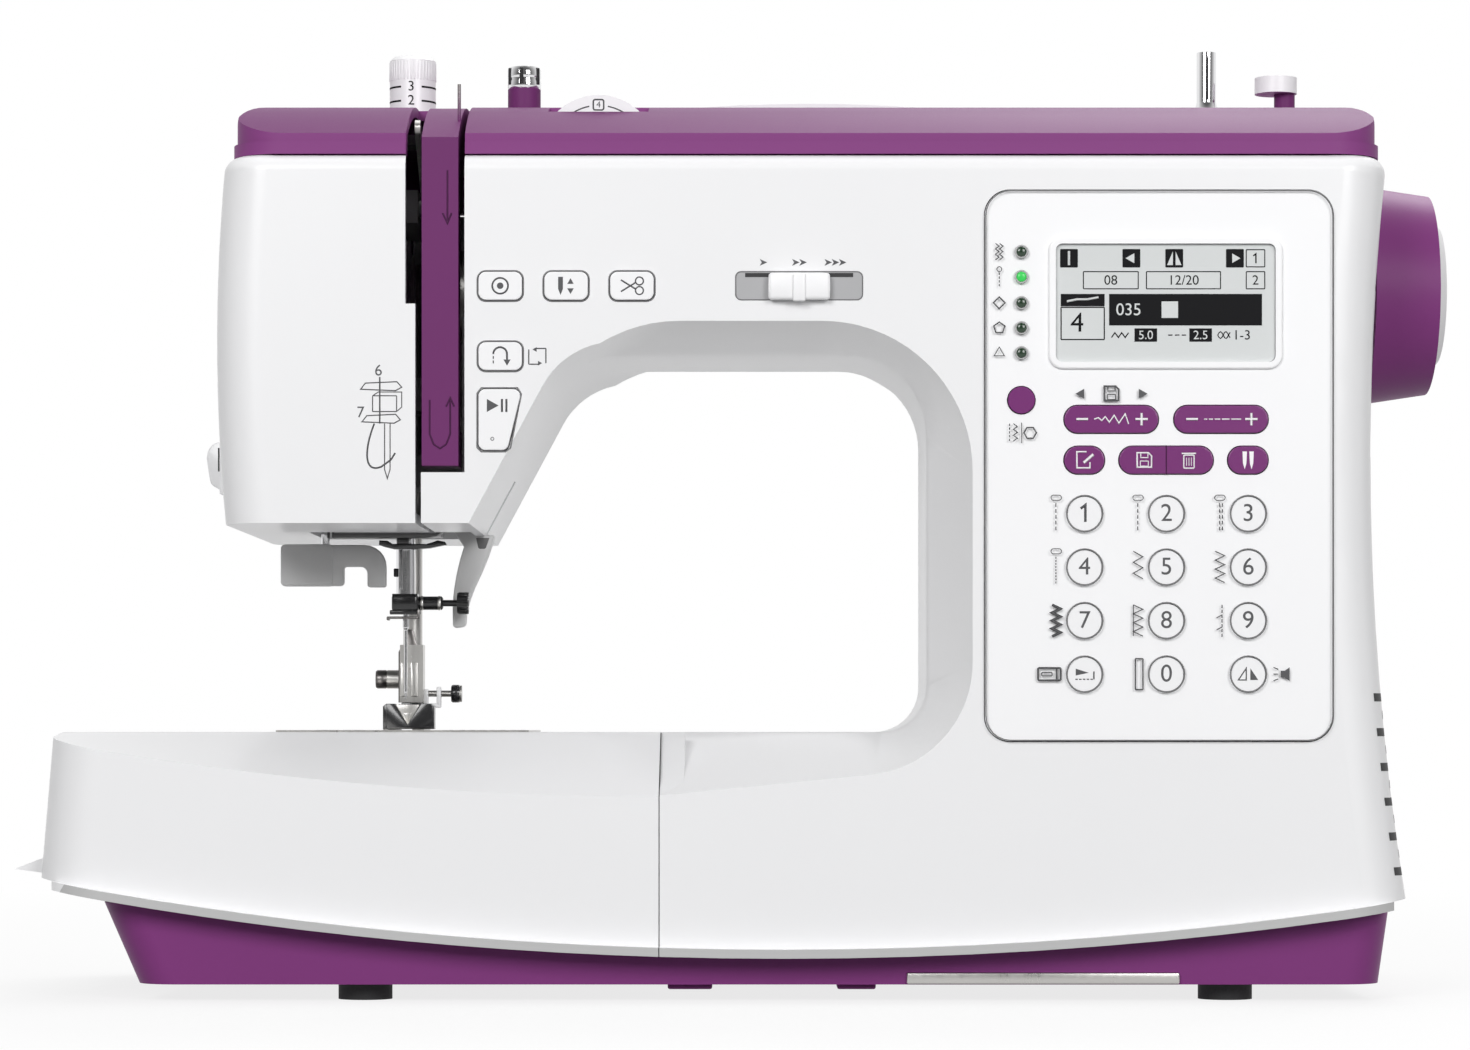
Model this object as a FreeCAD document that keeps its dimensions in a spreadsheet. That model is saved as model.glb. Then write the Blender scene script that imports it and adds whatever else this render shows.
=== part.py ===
import FreeCAD, Part
import math
import os
import re
import Sketcher
from FreeCAD import Placement, Rotation, Vector

# A computerised household sewing machine in millimetres. X runs from the table's free end to the
# handwheel, Y from the operator to the back, Z up from the surface under the feet.
SIZES = {
    # Casing
    "half_depth": 80, "wall": 3, "split_y": 6, "fit_gap": 0.3, "seam_x": -26,
    "head_left": -154, "head_bulge": 2.6, "head_bottom": 140, "cover_seat": 248,
    "column_top_x": 188, "column_waist_x": 183.5, "column_foot_x": 193.5,
    "side_round": 14, "shoulder_round": 5,
    "lip_radius": 1170, "lip_low_x": 10, "lip_low_z": 13.1, "lip_thick": 2.6, "lip_overhang": 4,
    # Throat, front crease and the narrower opening behind it
    "throat_left": -73, "throat_lean": 22.5, "throat_top": 199, "throat_right": 65.4,
    "throat_round": 44, "throat_foot_round": 33, "bed_crease": 60, "bed_rise": 9.5,
    "inner_left": -81.7, "inner_lean": 28.5, "inner_top": 193, "inner_right": 54,
    "inner_round": 25, "inner_foot_round": 14, "slope_depth": 50,
    # Bed, free arm and table
    "bed_top": 79, "arm_left": -150, "arm_half_width": 45, "arm_floor": 30.5, "arm_gap": 0.6,
    "table_left": -208.6, "table_lean": 3.6, "table_round": 16, "crown_depth": 32, "crease_lift": 17,
    "catch_reach": 8.6, "catch_half_width": 22, "catch_y": -40, "catch_z": 37, "catch_height": 6,
    # Base and feet
    "base_left": -190, "base_right": 189, "base_top": 29, "base_bottom": 5, "base_round": 12,
    "base_taper_left": 10, "base_taper": 3, "foot_radius": 8, "foot_left_x": -113.6,
    "foot_right_x": 141.3, "foot_y": 58,
    # Top cover
    "cover_inset": 2, "cover_flange": 3.8, "cover_step": 1, "cover_top": 268, "cover_round": 16,
    "brow_back": -24, "brow_foot": 252.4,
    "crown_round": 10, "slot_left": -97.3, "slot_gap": 1.7, "slot_wide": 2.9, "slot_right": -82.9,
    "slot_bottom": 154.8, "slot_depth": 18, "lever_slot_back": -24, "lever_slot_z": 204,
    "panel_strip_gap": 2, "strip_right_gap": 1.9, "strip_thick": 10, "strip_face": 1,
    "guide_pin_radius": 0.5, "guide_pin_rise": 2,
    # Dials, posts and handle on the top
    "dial_x": -44.6, "dial_y": -50, "dial_z": 251, "dial_radius": 17.5, "dial_width": 9,
    "dial_axle_radius": 2.5, "dial_ear": 3, "dial_gap": 0.5,
    "knob_radius": 7.2, "knob_height": 22, "knob_skirt": 6,
    "post_x": -68.3, "post_y": -20, "post_radius": 5, "post_height": 7, "disc_radius": 4.5,
    "disc_height": 6.3, "spindle_x": 142, "spindle_y": 0, "spindle_radius": 3, "spindle_height": 21.3,
    "spindle_flange": 5, "stop_x": 166.2, "stop_stem_radius": 3.2, "stop_stem": 8.5,
    "stop_cap_radius": 6.5, "stop_cap": 5, "stop_offset": 2.7,
    "handle_x": 19, "handle_half": 58, "handle_front": 12, "handle_grip": 12, "handle_rise": 7,
    "handle_end": 3.6, "handle_arm": 6, "handle_pin_y": 58, "handle_pin_rise": 4.6,
    "handle_pin_radius": 2, "ear_thick": 5, "ear_half": 4.5,
    # Needle, presser and take-up
    "needle_x": -106, "needle_bar_radius": 3, "needle_bar_foot": 121.4, "needle_bar_top": 231,
    "clamp_half": 3.9, "clamp_height": 5, "clamp_screw": 16, "clamp_head_radius": 3.2,
    "clamp_head": 3.4, "needle_shank": 1, "needle_blade": 0.5, "needle_tip": 88.5,
    "presser_x": -104.9, "presser_y": 15, "presser_radius": 3, "presser_top": 225,
    "ankle_half": 3.6, "ankle_bottom": 88.2, "ankle_top": 106.2, "foot_half_width": 8.2,
    "foot_front": -12, "foot_back": 24, "sole_thick": 2.6, "sole_slot": 2.2, "foot_screw_z": 95.5,
    "foot_rod_z": 91, "foot_screw_reach": 8, "foot_rod_reach": 15.4, "run_gap": 0.05,
    "lifter_x": -90, "lifter_y": 6, "lifter_z": 147, "lifter_length": 34, "lifter_width": 7,
    "lifter_thick": 5, "lifter_pin": 2, "lifter_lean": 3.5,
    "threader_x": -130, "threader_y": -9, "threader_rod": 1.4, "threader_top": 205,
    "threader_block": 12.6, "threader_left": 14.6, "threader_right": 5, "threader_hook": 18,
    "threader_z": 124.2, "threader_thick": 5,
    "take_up_y": -26, "take_up_z": 238, "take_up_pin": 2.5, "take_up_thick": 1.6,
    "take_up_forward": 32, "take_up_rise": 20, "take_up_width": 5, "eye_radius": 1.5,
    # Drive train
    "shaft_z": 214, "shaft_radius": 4, "crank_x": -93, "crank_radius": 14, "crank_thick": 6,
    "wheel_x": 190, "wheel_width": 19.8, "wheel_radius": 33.6, "wheel_rim": 30.6, "cap_radius": 21,
    "cap_reach": 3.4, "wheel_recess": 12, "belt_x": 158, "belt_width": 9, "pulley_radius": 14,
    "belt_thick": 2, "motor_pulley_radius": 6, "drive_pulley_radius": 24, "motor_belt_x": 145,
    "lower_z": 42, "gear_radius": 7, "gear_length": 10, "hook_gear_radius": 5, "gear_gap": 0.4,
    "hook_x": -92, "hook_radius": 17, "hook_bottom": 56, "hook_top": 71, "hook_seat": 5, "hook_wall": 2.4,
    "hook_shaft": 3, "bobbin_radius": 10.2, "bobbin_height": 11, "bobbin_bore": 3, "bobbin_core": 4.5,
    "bobbin_flange": 1,
    "motor_x": 76, "motor_length": 58, "motor_radius": 22, "motor_y": -36, "motor_z": 104,
    "motor_shaft": 2.5,
    # Needle plate and feed
    "plate_left": -142, "plate_right": -66, "plate_half": 41, "plate_thick": 1.8, "plate_ledge": 3,
    "lid_left": -96, "lid_right": -69, "lid_front": -39, "lid_back": 8, "lid_thick": 1,
    "feed_width": 3.5, "feed_gauge": 4.5, "feed_front": -10, "feed_back": 20, "feed_depth": 5,
    "feed_gap": 0.5, "needle_slot": 3.2, "plate_proud": 0.6,
    # Frame
    "beam_front": 22, "beam_back": 40, "beam_low": 204, "beam_high": 226, "bracket": 10,
    "post_left": 100, "post_right": 128, "motor_plate": 5, "rear_bearing_x": -66, "guide_half": 16,
    "guide_low": 154, "guide_mid": 178,
    # Control panel
    "panel_left": 68.9, "panel_right": 170.4, "panel_low": 76.4, "panel_high": 237,
    "panel_round": 7.3, "panel_gap": 0.3, "panel_proud": 0.2, "screen_left": 89.6,
    "screen_right": 153.5, "screen_low": 187, "screen_high": 221.3, "bezel_rim": 2.2,
    "bezel_proud": 1.2, "screen_round": 2, "screen_gap": 0.1, "board_gap": 6, "board_thick": 1.6,
    "peg_radius": 2, "peg_inset": 5,
    # Keys
    "key_gap": 0.3, "key_proud": 0.9, "key_depth": 6, "key_edge": 0.35,
    "number_radius": 4.95, "number_x": 97.9, "number_pitch_x": 23.85, "number_drop": 44.3,
    "number_pitch_z": 15.6, "pill_height": 8, "long_pill": 27.4, "short_pill": 11.7,
    "pill_left": 92, "pill_right": 151.4, "long_row_drop": 16.8, "short_row_drop": 28.7,
    "mode_x": 79.5, "mode_drop": 11.2, "mode_radius": 3.9,
    "touch_left": -78.8, "touch_width": 12.7, "touch_height": 8.2, "touch_round": 2.2,
    "touch_pitch": 19.2, "touch_row_z": 209.1, "reverse_z": 188.6, "start_low": 161.2,
    "start_high": 179, "start_foot": 8.4, "start_round": 2,
    # Speed slider, switch, inlet and vents
    "speed_x": 14.7, "speed_half": 18.5, "speed_slot": 3.6, "speed_knob": 18, "speed_knob_high": 7.4,
    "speed_knob_proud": 2.6, "speed_stem": 5, "speed_keeper": 9,
    "switch_y": -14, "switch_z": 136, "switch_long": 20, "switch_high": 13, "switch_gap": 0.8,
    "switch_proud": 1.2, "switch_deep": 8,
    "inlet_y": 32, "inlet_z": 58, "inlet_wide": 26, "inlet_high": 18, "inlet_deep": 12,
    "inlet_pin": 1.2, "inlet_pin_gap": 12, "vent_low": 37, "vent_rows": 11, "vent_pitch": 5.1,
    "vent_high": 2.4, "vent_wide": 8, "vent_front": -64, "vent_step": 11,
    "screw_radius": 1.6, "screw_head": 3.2, "screw_rise": 1.8, "screw_length": 12,
    "screw_inset": 16, "thread_cutter_low": 150, "thread_cutter_high": 164, "cutter_reach": 3.6,
}

doc = FreeCAD.newDocument("SewingMachine")
sheet = doc.addObject("Spreadsheet::Sheet", "Sizes")
for row, (alias, number) in enumerate(SIZES.items(), 1):
    sheet.set(f"A{row}", alias)
    sheet.set(f"B{row}", str(number))
    sheet.setAlias(f"B{row}", alias)
doc.recompute()
NODES = []


def size(alias):
    """A driving dimension, read from the sheet."""
    return float(sheet.get(alias))


def bind(obj, prop, text):
    """Ties a property to an expression of sheet aliases."""
    words = re.compile(r"[a-z_]{2,}")
    obj.setExpression(prop, words.sub(lambda w: "Sizes." + w.group() if w.group() in SIZES else w.group(),
                                      text))


def place(obj, x="0", y="0", z="0"):
    for axis, text in zip("xyz", (x, y, z)):
        bind(obj, f".Placement.Base.{axis}", text)


def node(obj, label):
    """Names an object as one of the machine's pieces."""
    obj.Label = label
    NODES.append(obj)
    return obj


def box(name, x, y, z):
    """A block between two expressions along each axis."""
    block = doc.addObject("Part::Box", name)
    for prop, (low, high) in zip(("Length", "Width", "Height"), (x, y, z)):
        bind(block, prop, f"({high}) - ({low})")
    place(block, x[0], y[0], z[0])
    return block


TURNS = {"x": Rotation(Vector(0, 1, 0), 90), "y": Rotation(Vector(1, 0, 0), -90), "z": Rotation()}


def rod(name, axis, radius, length, x, y, z):
    """A cylinder that starts at a point and runs along +X, +Y or +Z."""
    cylinder = doc.addObject("Part::Cylinder", name)
    cylinder.Placement = Placement(Vector(), TURNS[axis])
    bind(cylinder, "Radius", radius)
    bind(cylinder, "Height", length)
    place(cylinder, x, y, z)
    return cylinder


def fuse(name, *shapes):
    joined = doc.addObject("Part::MultiFuse", name)
    joined.Shapes = list(shapes)
    return joined


def cut(name, base, *tools):
    trimmed = doc.addObject("Part::Cut", name)
    trimmed.Base = base
    trimmed.Tool = tools[0] if len(tools) == 1 else fuse(name + "_tools", *tools)
    return trimmed


def solid(name, shape):
    """A piece whose shape needs lofts or arcs, worked out from the sheet's sizes."""
    feature = doc.addObject("Part::Feature", name)
    feature.Shape = shape
    return feature


def sketch_on(body, role, name):
    sketch = body.newObject("Sketcher::SketchObject", name)
    plane = [f for f in body.Origin.OriginFeatures if f.Role == role][0]
    sketch.AttachmentSupport = (plane, [""])
    sketch.MapMode = "FlatFace"
    return sketch


def polygon(sketch, corners):
    """Closed lines through corners whose two coordinates are expressions of the sheet."""
    count = len(corners)
    for i in range(count):
        a = Vector(math.cos(2 * math.pi * i / count), math.sin(2 * math.pi * i / count), 0)
        b = Vector(math.cos(2 * math.pi * (i + 1) / count), math.sin(2 * math.pi * (i + 1) / count), 0)
        sketch.addGeometry(Part.LineSegment(a * 10, b * 10))
    for i in range(count):
        sketch.addConstraint(Sketcher.Constraint("Coincident", i, 2, (i + 1) % count, 1))
    for i, pair in enumerate(corners):
        for kind, text in zip(("DistanceX", "DistanceY"), pair):
            index = sketch.addConstraint(Sketcher.Constraint(kind, -1, 1, i, 1, 1.0))
            sketch.renameConstraint(index, f"{kind}_{i}")
            bind(sketch, f"Constraints.{kind}_{i}", text)


def round_edges(body, base, radius, wanted):
    """A fillet on the edges that a test picks, with its radius tied to the sheet."""
    doc.recompute()
    names = [f"Edge{i}" for i, e in enumerate(base.Shape.Edges, 1) if wanted(e)]
    fillet = body.newObject("PartDesign::Fillet", base.Name + "_round")
    fillet.Base = (base, names)
    bind(fillet, "Radius", radius)
    body.Tip = fillet
    return fillet


def prism(name, role, corners, length, corner="", rim="", at=("0", "0", "0")):
    """A padded polygon with rounded corners and, if asked, a rounded rim on its far face."""
    body = doc.addObject("PartDesign::Body", name)
    sketch = sketch_on(body, role, name + "_outline")
    polygon(sketch, corners)
    feature = body.newObject("PartDesign::Pad", name + "_pad")
    feature.Profile = sketch
    bind(feature, "Length", length)
    doc.recompute()
    way = {"XZ_Plane": Vector(0, -1, 0), "XY_Plane": Vector(0, 0, 1), "YZ_Plane": Vector(1, 0, 0)}[role]
    far = max(v.Point.dot(way) for v in feature.Shape.Vertexes)
    if corner:
        feature = round_edges(body, feature, corner,
                              lambda e: abs(e.tangentAt(e.FirstParameter).dot(way)) > 0.999)
    if rim:
        round_edges(body, feature, rim,
                    lambda e: all(abs(v.Point.dot(way) - far) < 1e-6 for v in e.Vertexes))
    place(body, *at)
    return body


def rectangle(low_a, high_a, low_b, high_b, grow="0"):
    """Corner expressions of a rectangle, grown by a clearance on every side."""
    a, b = f"({low_a}) - ({grow})", f"({high_a}) + ({grow})"
    c, d = f"({low_b}) - ({grow})", f"({high_b}) + ({grow})"
    return [(a, c), (b, c), (b, d), (a, d)]


def revolve(name, role, corners, at=("0", "0", "0")):
    """A body turned about its vertical sketch axis from a half profile."""
    body = doc.addObject("PartDesign::Body", name)
    sketch = sketch_on(body, role, name + "_profile")
    polygon(sketch, corners)
    turned = body.newObject("PartDesign::Revolution", name + "_turned")
    turned.Profile = sketch
    turned.ReferenceAxis = (sketch, ["V_Axis"])
    turned.Angle = 360
    place(body, *at)
    return body


def rounded(corners):
    """A closed wire of lines and tangent arcs through (point, radius) corners."""
    spans = []
    count = len(corners)
    for i, (point, radius) in enumerate(corners):
        back = (corners[i - 1][0] - point).normalize()
        ahead = (corners[(i + 1) % count][0] - point).normalize()
        if radius == 0:
            spans.append((point, None, point))
            continue
        half = back.getAngle(ahead) / 2
        inward = (back + ahead).normalize()
        reach = radius / math.tan(half)
        middle = point + inward * (radius / math.sin(half) - radius)
        spans.append((point + back * reach, middle, point + ahead * reach))
    edges = []
    for i, (start, middle, end) in enumerate(spans):
        if middle is not None:
            edges.append(Part.Arc(start, middle, end).toShape())
        edges.append(Part.LineSegment(end, spans[(i + 1) % count][0]).toShape())
    return Part.Wire(edges)


def upright(corners, y):
    return rounded([(Vector(x, y, z), r) for x, z, r in corners])


def level(left, right, half, z, radius):
    return rounded([(Vector(x, y, z), radius) for x, y in
                    ((left, -half), (right, -half), (right, half), (left, half))])


def block(x, y, z):
    return Part.makeBox(x[1] - x[0], y[1] - y[0], z[1] - z[0], Vector(x[0], y[0], z[0]))


def lip_height(x):
    """Upper edge of the grey lip, a long arc that sags at lip_low_x."""
    radius = size("lip_radius")
    sag = radius - math.sqrt(radius ** 2 - (x - size("lip_low_x")) ** 2)
    return size("lip_low_z") + size("lip_thick") + sag


def lip_arc(left, right, y, drop=0.0):
    """Edge along the lip from one x to another."""
    ends = [Vector(x, y, lip_height(x) - drop) for x in (left, (left + right) / 2, right)]
    return Part.Arc(*ends).toShape()


def lip_band(left, right):
    """The lip's two strips, in front of the casing and behind it."""
    front = size("half_depth") + size("lip_overhang")
    lower = lip_arc(left, right, -front, size("lip_thick"))
    upper = lip_arc(left, right, -front)
    rise = [Part.LineSegment(lower.Vertexes[i].Point, upper.Vertexes[i].Point).toShape() for i in (0, 1)]
    strip = Part.Face(Part.Wire(Part.sortEdges([lower, rise[1], upper, rise[0]])[0]))
    strip = strip.extrude(Vector(0, size("lip_overhang") + size("wall"), 0))
    strips = strip.fuse(strip.mirror(Vector(), Vector(0, 1, 0)))
    plan = level(size("table_left"), size("column_foot_x"), front, 0,
                 size("table_round") + size("lip_overhang"))
    return strips.common(Part.Face(plan).extrude(Vector(0, 0, size("bed_top"))))


def carve(shape, tools):
    """Cuts tools that may overlap each other, one after the other."""
    for tool in tools:
        shape = shape.cut(tool)
    return shape


def both_sides(shape):
    """A cutter and its mirror image at the back."""
    return shape.fuse(shape.mirror(Vector(), Vector(0, 1, 0)))


HALF = size("half_depth")
WALL = size("wall")
FIT = size("fit_gap")
EVERY = (-400.0, 400.0)


def casing_block():
    """Head, arm, column and right bed as one block, before the throat is opened."""
    seam, foot, left = size("seam_x"), size("column_foot_x"), size("head_left")
    seat, low = size("cover_seat"), size("head_bottom")
    foot_z = lip_height(foot)
    corners = [Vector(foot, -HALF, foot_z), Vector(size("column_top_x"), -HALF, seat),
               Vector(left, -HALF, seat), Vector(left, -HALF, low), Vector(seam, -HALF, low),
               Vector(seam, -HALF, lip_height(seam))]
    waist = Vector(size("column_waist_x"), -HALF, (foot_z + seat) / 2)
    bulge = Vector(left - size("head_bulge"), -HALF, (low + seat) / 2)
    edges = [Part.Arc(corners[0], waist, corners[1]).toShape(),
             Part.LineSegment(corners[1], corners[2]).toShape(),
             Part.Arc(corners[2], bulge, corners[3]).toShape(),
             Part.LineSegment(corners[3], corners[4]).toShape(),
             Part.LineSegment(corners[4], corners[5]).toShape(),
             lip_arc(seam, foot, -HALF)]
    form = Part.Face(Part.Wire(Part.sortEdges(edges)[0])).extrude(Vector(0, 2 * HALF, 0))
    sides = [e for e in form.Edges if on_side(e, left, size("column_waist_x"))]
    form = form.makeFillet(size("side_round"), sides)
    shoulder = [e for e in form.Edges if all(abs(v.Z - seat) < 1e-6 for v in e.Vertexes)]
    return form.makeFillet(size("shoulder_round"), shoulder)


def on_side(edge, left, right):
    """True for the upright edges at the casing's two ends."""
    middle = edge.valueAt((edge.FirstParameter + edge.LastParameter) / 2)
    return abs(abs(middle.y) - HALF) < 1e-6 and (middle.x < left + 1e-6 or middle.x > right - 1)


def throat_cutter():
    """The opening right through and the slopes that widen it to the front and back creases."""
    low, below = size("head_bottom"), 4.0
    inner_top, top = size("inner_top"), size("throat_top")
    inner_slope = size("inner_lean") / (inner_top - low)
    slope = size("throat_lean") / (top - low)
    past_seam = size("seam_x") - below
    inner = [(size("inner_left") - below * inner_slope, low - below, 0),
             (size("inner_left") + size("inner_lean"), inner_top, size("inner_round")),
             (size("inner_right"), inner_top, size("inner_round")),
             (size("inner_right"), size("bed_top"), size("inner_foot_round")),
             (past_seam, size("bed_top"), 0)]
    crease = [(size("throat_left") - below * slope, low - below, 0),
              (size("throat_left") + size("throat_lean"), top, size("throat_round")),
              (size("throat_right"), top, size("throat_round")),
              (size("throat_right"), size("bed_crease") + size("bed_rise"), size("throat_foot_round")),
              (past_seam, size("bed_crease"), 0)]
    through = Part.Face(upright(inner, -HALF - below)).extrude(Vector(0, 2 * (HALF + below), 0))
    slope = Part.makeLoft([upright(crease, -HALF - FIT), upright(inner, -HALF + size("slope_depth"))], True,
                          True)
    return [through, slope, slope.mirror(Vector(), Vector(0, 1, 0))]


def hollow(left, right, low, high):
    """A room inside the casing with rounded upright corners."""
    radius = size("side_round") - 2
    return Part.Face(level(left, right, HALF - WALL, low, radius)).extrude(Vector(0, 0, high - low))


def base_pocket(left, right):
    """Where the base stands inside the foot of the casing and the table."""
    return Part.Face(level(left, right, HALF - WALL, -1, size("base_round"))).extrude(
        Vector(0, 0, size("base_top") + FIT + 1))


def casing_shape():
    """The whole white casing with its rooms, free arm and needle plate seat."""
    seam, left, seat = size("seam_x"), size("head_left"), size("cover_seat")
    inside_left = left + WALL + 2
    inside_right = size("column_waist_x") - WALL - 1
    arm, above = size("arm_half_width"), seat + 1
    bed = size("bed_top")
    shape = carve(casing_block(), throat_cutter()).fuse(lip_band(seam, size("column_foot_x")))
    shape = shape.fuse(block((size("arm_left"), seam + WALL), (-arm, arm), (size("arm_floor"), bed)))
    slope = HALF - size("slope_depth")
    rooms = [hollow(inside_left, size("inner_left") - WALL, size("head_bottom") + WALL, above),
             hollow(inside_left, inside_right, size("throat_top") + WALL, above),
             hollow(size("throat_right") + WALL, inside_right, -1, above),
             hollow(seam + WALL, inside_right, -1, size("bed_crease") - WALL),
             base_pocket(seam - size("base_round") - 1, size("base_right") + FIT),
             block((seam - 1, inside_right), (-slope, slope), (size("arm_floor"), bed - WALL)),
             block((size("arm_left") + WALL, seam + WALL + 1), (WALL - arm, arm - WALL), (-1, bed - WALL))]
    return carve(shape, rooms)


def plate_seat():
    """Shallow seat for the needle plate and the opening inside its ledge."""
    left, right, half = size("plate_left"), size("plate_right"), size("plate_half")
    ledge, bed = size("plate_ledge"), size("bed_top")
    seat = block((left - FIT, right + FIT), (-half - FIT, half + FIT),
                 (bed + size("plate_proud") - size("plate_thick"), bed + WALL))
    well = block((left + ledge, right - ledge), (ledge - half, half - ledge), (bed - 2 * WALL, bed + WALL))
    return [seat, well]


def head_opening():
    """Opening under the head for the bars, and the notch that the presser lifter swings in."""
    low = size("head_bottom")
    bars = block((size("threader_x") - 4, size("inner_left") - WALL), (-20, 30), (low - WALL,
                                                                                  low + 2 * WALL))
    y = size("lifter_y")
    notch = block((size("lifter_x") - 8, size("throat_left") + 6), (y - 1, y + size("lifter_thick") + 1),
                  (low - WALL, size("lifter_z") + 10))
    return [bars, notch]


def vents():
    """Staggered air slots in the column's right wall."""
    slots = []
    for row in range(int(size("vent_rows"))):
        z = size("vent_low") + row * size("vent_pitch")
        for column in range(2):
            y = size("vent_front") + column * size("vent_step") + (row % 2) * size("vent_step") / 2
            slots.append(block((size("column_waist_x") - 12, size("column_foot_x") + 5),
                               (y, y + size("vent_wide")), (z, z + size("vent_high"))))
    return slots


def inlet_pocket():
    """Recess of the power inlet in the column's right wall, with its two pins."""
    y, z = size("inlet_y"), size("inlet_z")
    back = size("column_waist_x") - 1
    wide, high = size("inlet_wide") / 2, size("inlet_high") / 2
    recess = block((back, size("column_foot_x") + 5), (y - wide, y + wide), (z - high, z + high))
    pins = [Part.makeCylinder(size("inlet_pin"), size("inlet_deep") / 2 + 1,
                              Vector(back - 1, y + side * size("inlet_pin_gap") / 2, z), Vector(1, 0, 0))
            for side in (-1, 1)]
    return recess, pins


def screw_places():
    """Where the casing screws stand in the back wall, as (x, z) expressions."""
    left, right = "head_left + screw_inset", "column_waist_x - screw_inset"
    return [(left, "cover_seat - screw_inset"), (left, "head_bottom + screw_inset"),
            (right, "cover_seat - screw_inset"), (right, "bed_crease - screw_inset"),
            ("seam_x + screw_inset", "bed_crease - screw_inset")]


casing = carve(casing_shape(), plate_seat() + head_opening())
front_side = casing.common(block(EVERY, (EVERY[0], size("split_y")), EVERY))
head_zone = (size("head_bottom") - 5, EVERY[1])
slot_start = size("slot_left") + size("slot_gap")
lever_slot = block((size("slot_left") - size("slot_wide"), slot_start), (EVERY[0], size("lever_slot_back")),
                   (size("lever_slot_z"), EVERY[1]))
strip_slot = block((slot_start - 1, size("slot_right")), (EVERY[0], size("slot_depth") - HALF),
                   (size("slot_bottom"), EVERY[1]))

# Face cover: the head's left end, with the moulded thread cutter
face = front_side.common(block((EVERY[0], size("slot_left")), EVERY, head_zone)).cut(lever_slot)
cutter = block((size("head_left") - size("cutter_reach"), size("head_left") + WALL + 2),
               (-HALF + 2 * size("side_round"), -HALF + 3 * size("side_round")),
               (size("thread_cutter_low"), size("thread_cutter_high")))
node(solid("FaceCover", face.fuse(cutter).removeSplitter()), "face_cover")

# Rear casing: back half with the power inlet and screw holes
recess, inlet_pins = inlet_pocket()
rear = casing.common(block(EVERY, (size("split_y"), EVERY[1]), EVERY)).cut(recess).fuse(inlet_pins)
rear_form = solid("RearForm", rear.removeSplitter())
rear_holes = [rod(f"ScrewHole{i}", "y", "screw_radius + run_gap", "wall * 4", x, "half_depth - wall * 2", z)
              for i, (x, z) in enumerate(screw_places())]
node(cut("RearHousing", rear_form, *rear_holes), "rear_housing")

screws = []
for i, (x, z) in enumerate(screw_places()):
    shank = rod(f"ScrewShank{i}", "y", "screw_radius", "screw_length", x, "half_depth - screw_length", z)
    head = rod(f"ScrewHead{i}", "y", "screw_head", "screw_rise", x, "half_depth", z)
    screws.append(fuse(f"Screw{i}", shank, head))
node(fuse("HousingScrews", *screws), "housing_screws")

# Keys: each is a name with the outline of its cap
KEYS = {}
NUMBER_NAMES = ["number_key_1", "number_key_2", "number_key_3", "number_key_4", "number_key_5",
                "number_key_6", "number_key_7", "number_key_8", "number_key_9",
                "pattern_key", "number_key_0", "mirror_key"]
for i, name in enumerate(NUMBER_NAMES):
    KEYS[name] = ("round", "number_radius", f"number_x + {i % 3} * number_pitch_x",
                  f"screen_low - number_drop - {i // 3} * number_pitch_z")
KEYS["mode_key"] = ("round", "mode_radius", "mode_x", "screen_low - mode_drop")


def pill(left, right, z):
    return ("pill", "pill_height * 0.49", (left, right, f"{z} - pill_height / 2", f"{z} + pill_height / 2"))


KEYS["width_key"] = pill("pill_left", "pill_left + long_pill", "screen_low - long_row_drop")
KEYS["length_key"] = pill("pill_right - long_pill", "pill_right", "screen_low - long_row_drop")
KEYS["edit_key"] = pill("pill_left", "pill_left + short_pill", "screen_low - short_row_drop")
KEYS["memory_key"] = pill("(pill_left + pill_right - long_pill) / 2",
                          "(pill_left + pill_right + long_pill) / 2",
                          "screen_low - short_row_drop")
KEYS["twin_needle_key"] = pill("pill_right - short_pill", "pill_right", "screen_low - short_row_drop")
PANEL_KEYS = list(KEYS)


def touch(column, z):
    left = f"touch_left + {column} * touch_pitch"
    return ("pill", "touch_round", (left, f"{left} + touch_width", f"{z} - touch_height / 2",
                                    f"{z} + touch_height / 2"))


KEYS["lock_stitch_key"] = touch(0, "touch_row_z")
KEYS["needle_position_key"] = touch(1, "touch_row_z")
KEYS["thread_cut_key"] = touch(2, "touch_row_z")
KEYS["reverse_key"] = touch(0, "reverse_z")
KEYS["start_stop_key"] = ("start", "start_round", None)


def start_corners(grow="0"):
    """The start key narrows to its foot, along the throat's crease."""
    left, low, high = f"touch_left - {grow}", f"start_low - {grow}", f"start_high + {grow}"
    return [(left, low), (f"touch_left + start_foot + {grow}", low),
            (f"touch_left + touch_width + {grow}", high), (left, high)]


def key_form(name, key, grow, depth, face_y, rim=""):
    """A key's cap, or with a clearance the hole it runs in. It ends at face_y and runs back by depth."""
    kind, radius, where = key[0], key[1], key[2:]
    if kind == "round":
        return rod(name, "y", f"{radius} + {grow}", depth, where[0], face_y, where[1])
    corners = start_corners(grow) if kind == "start" else rectangle(*where[0], grow)
    return prism(name, "XZ_Plane", corners, depth, f"{radius} + {grow}", rim, ("0", f"{face_y} + {depth}",
                                                                               "0"))


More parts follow.
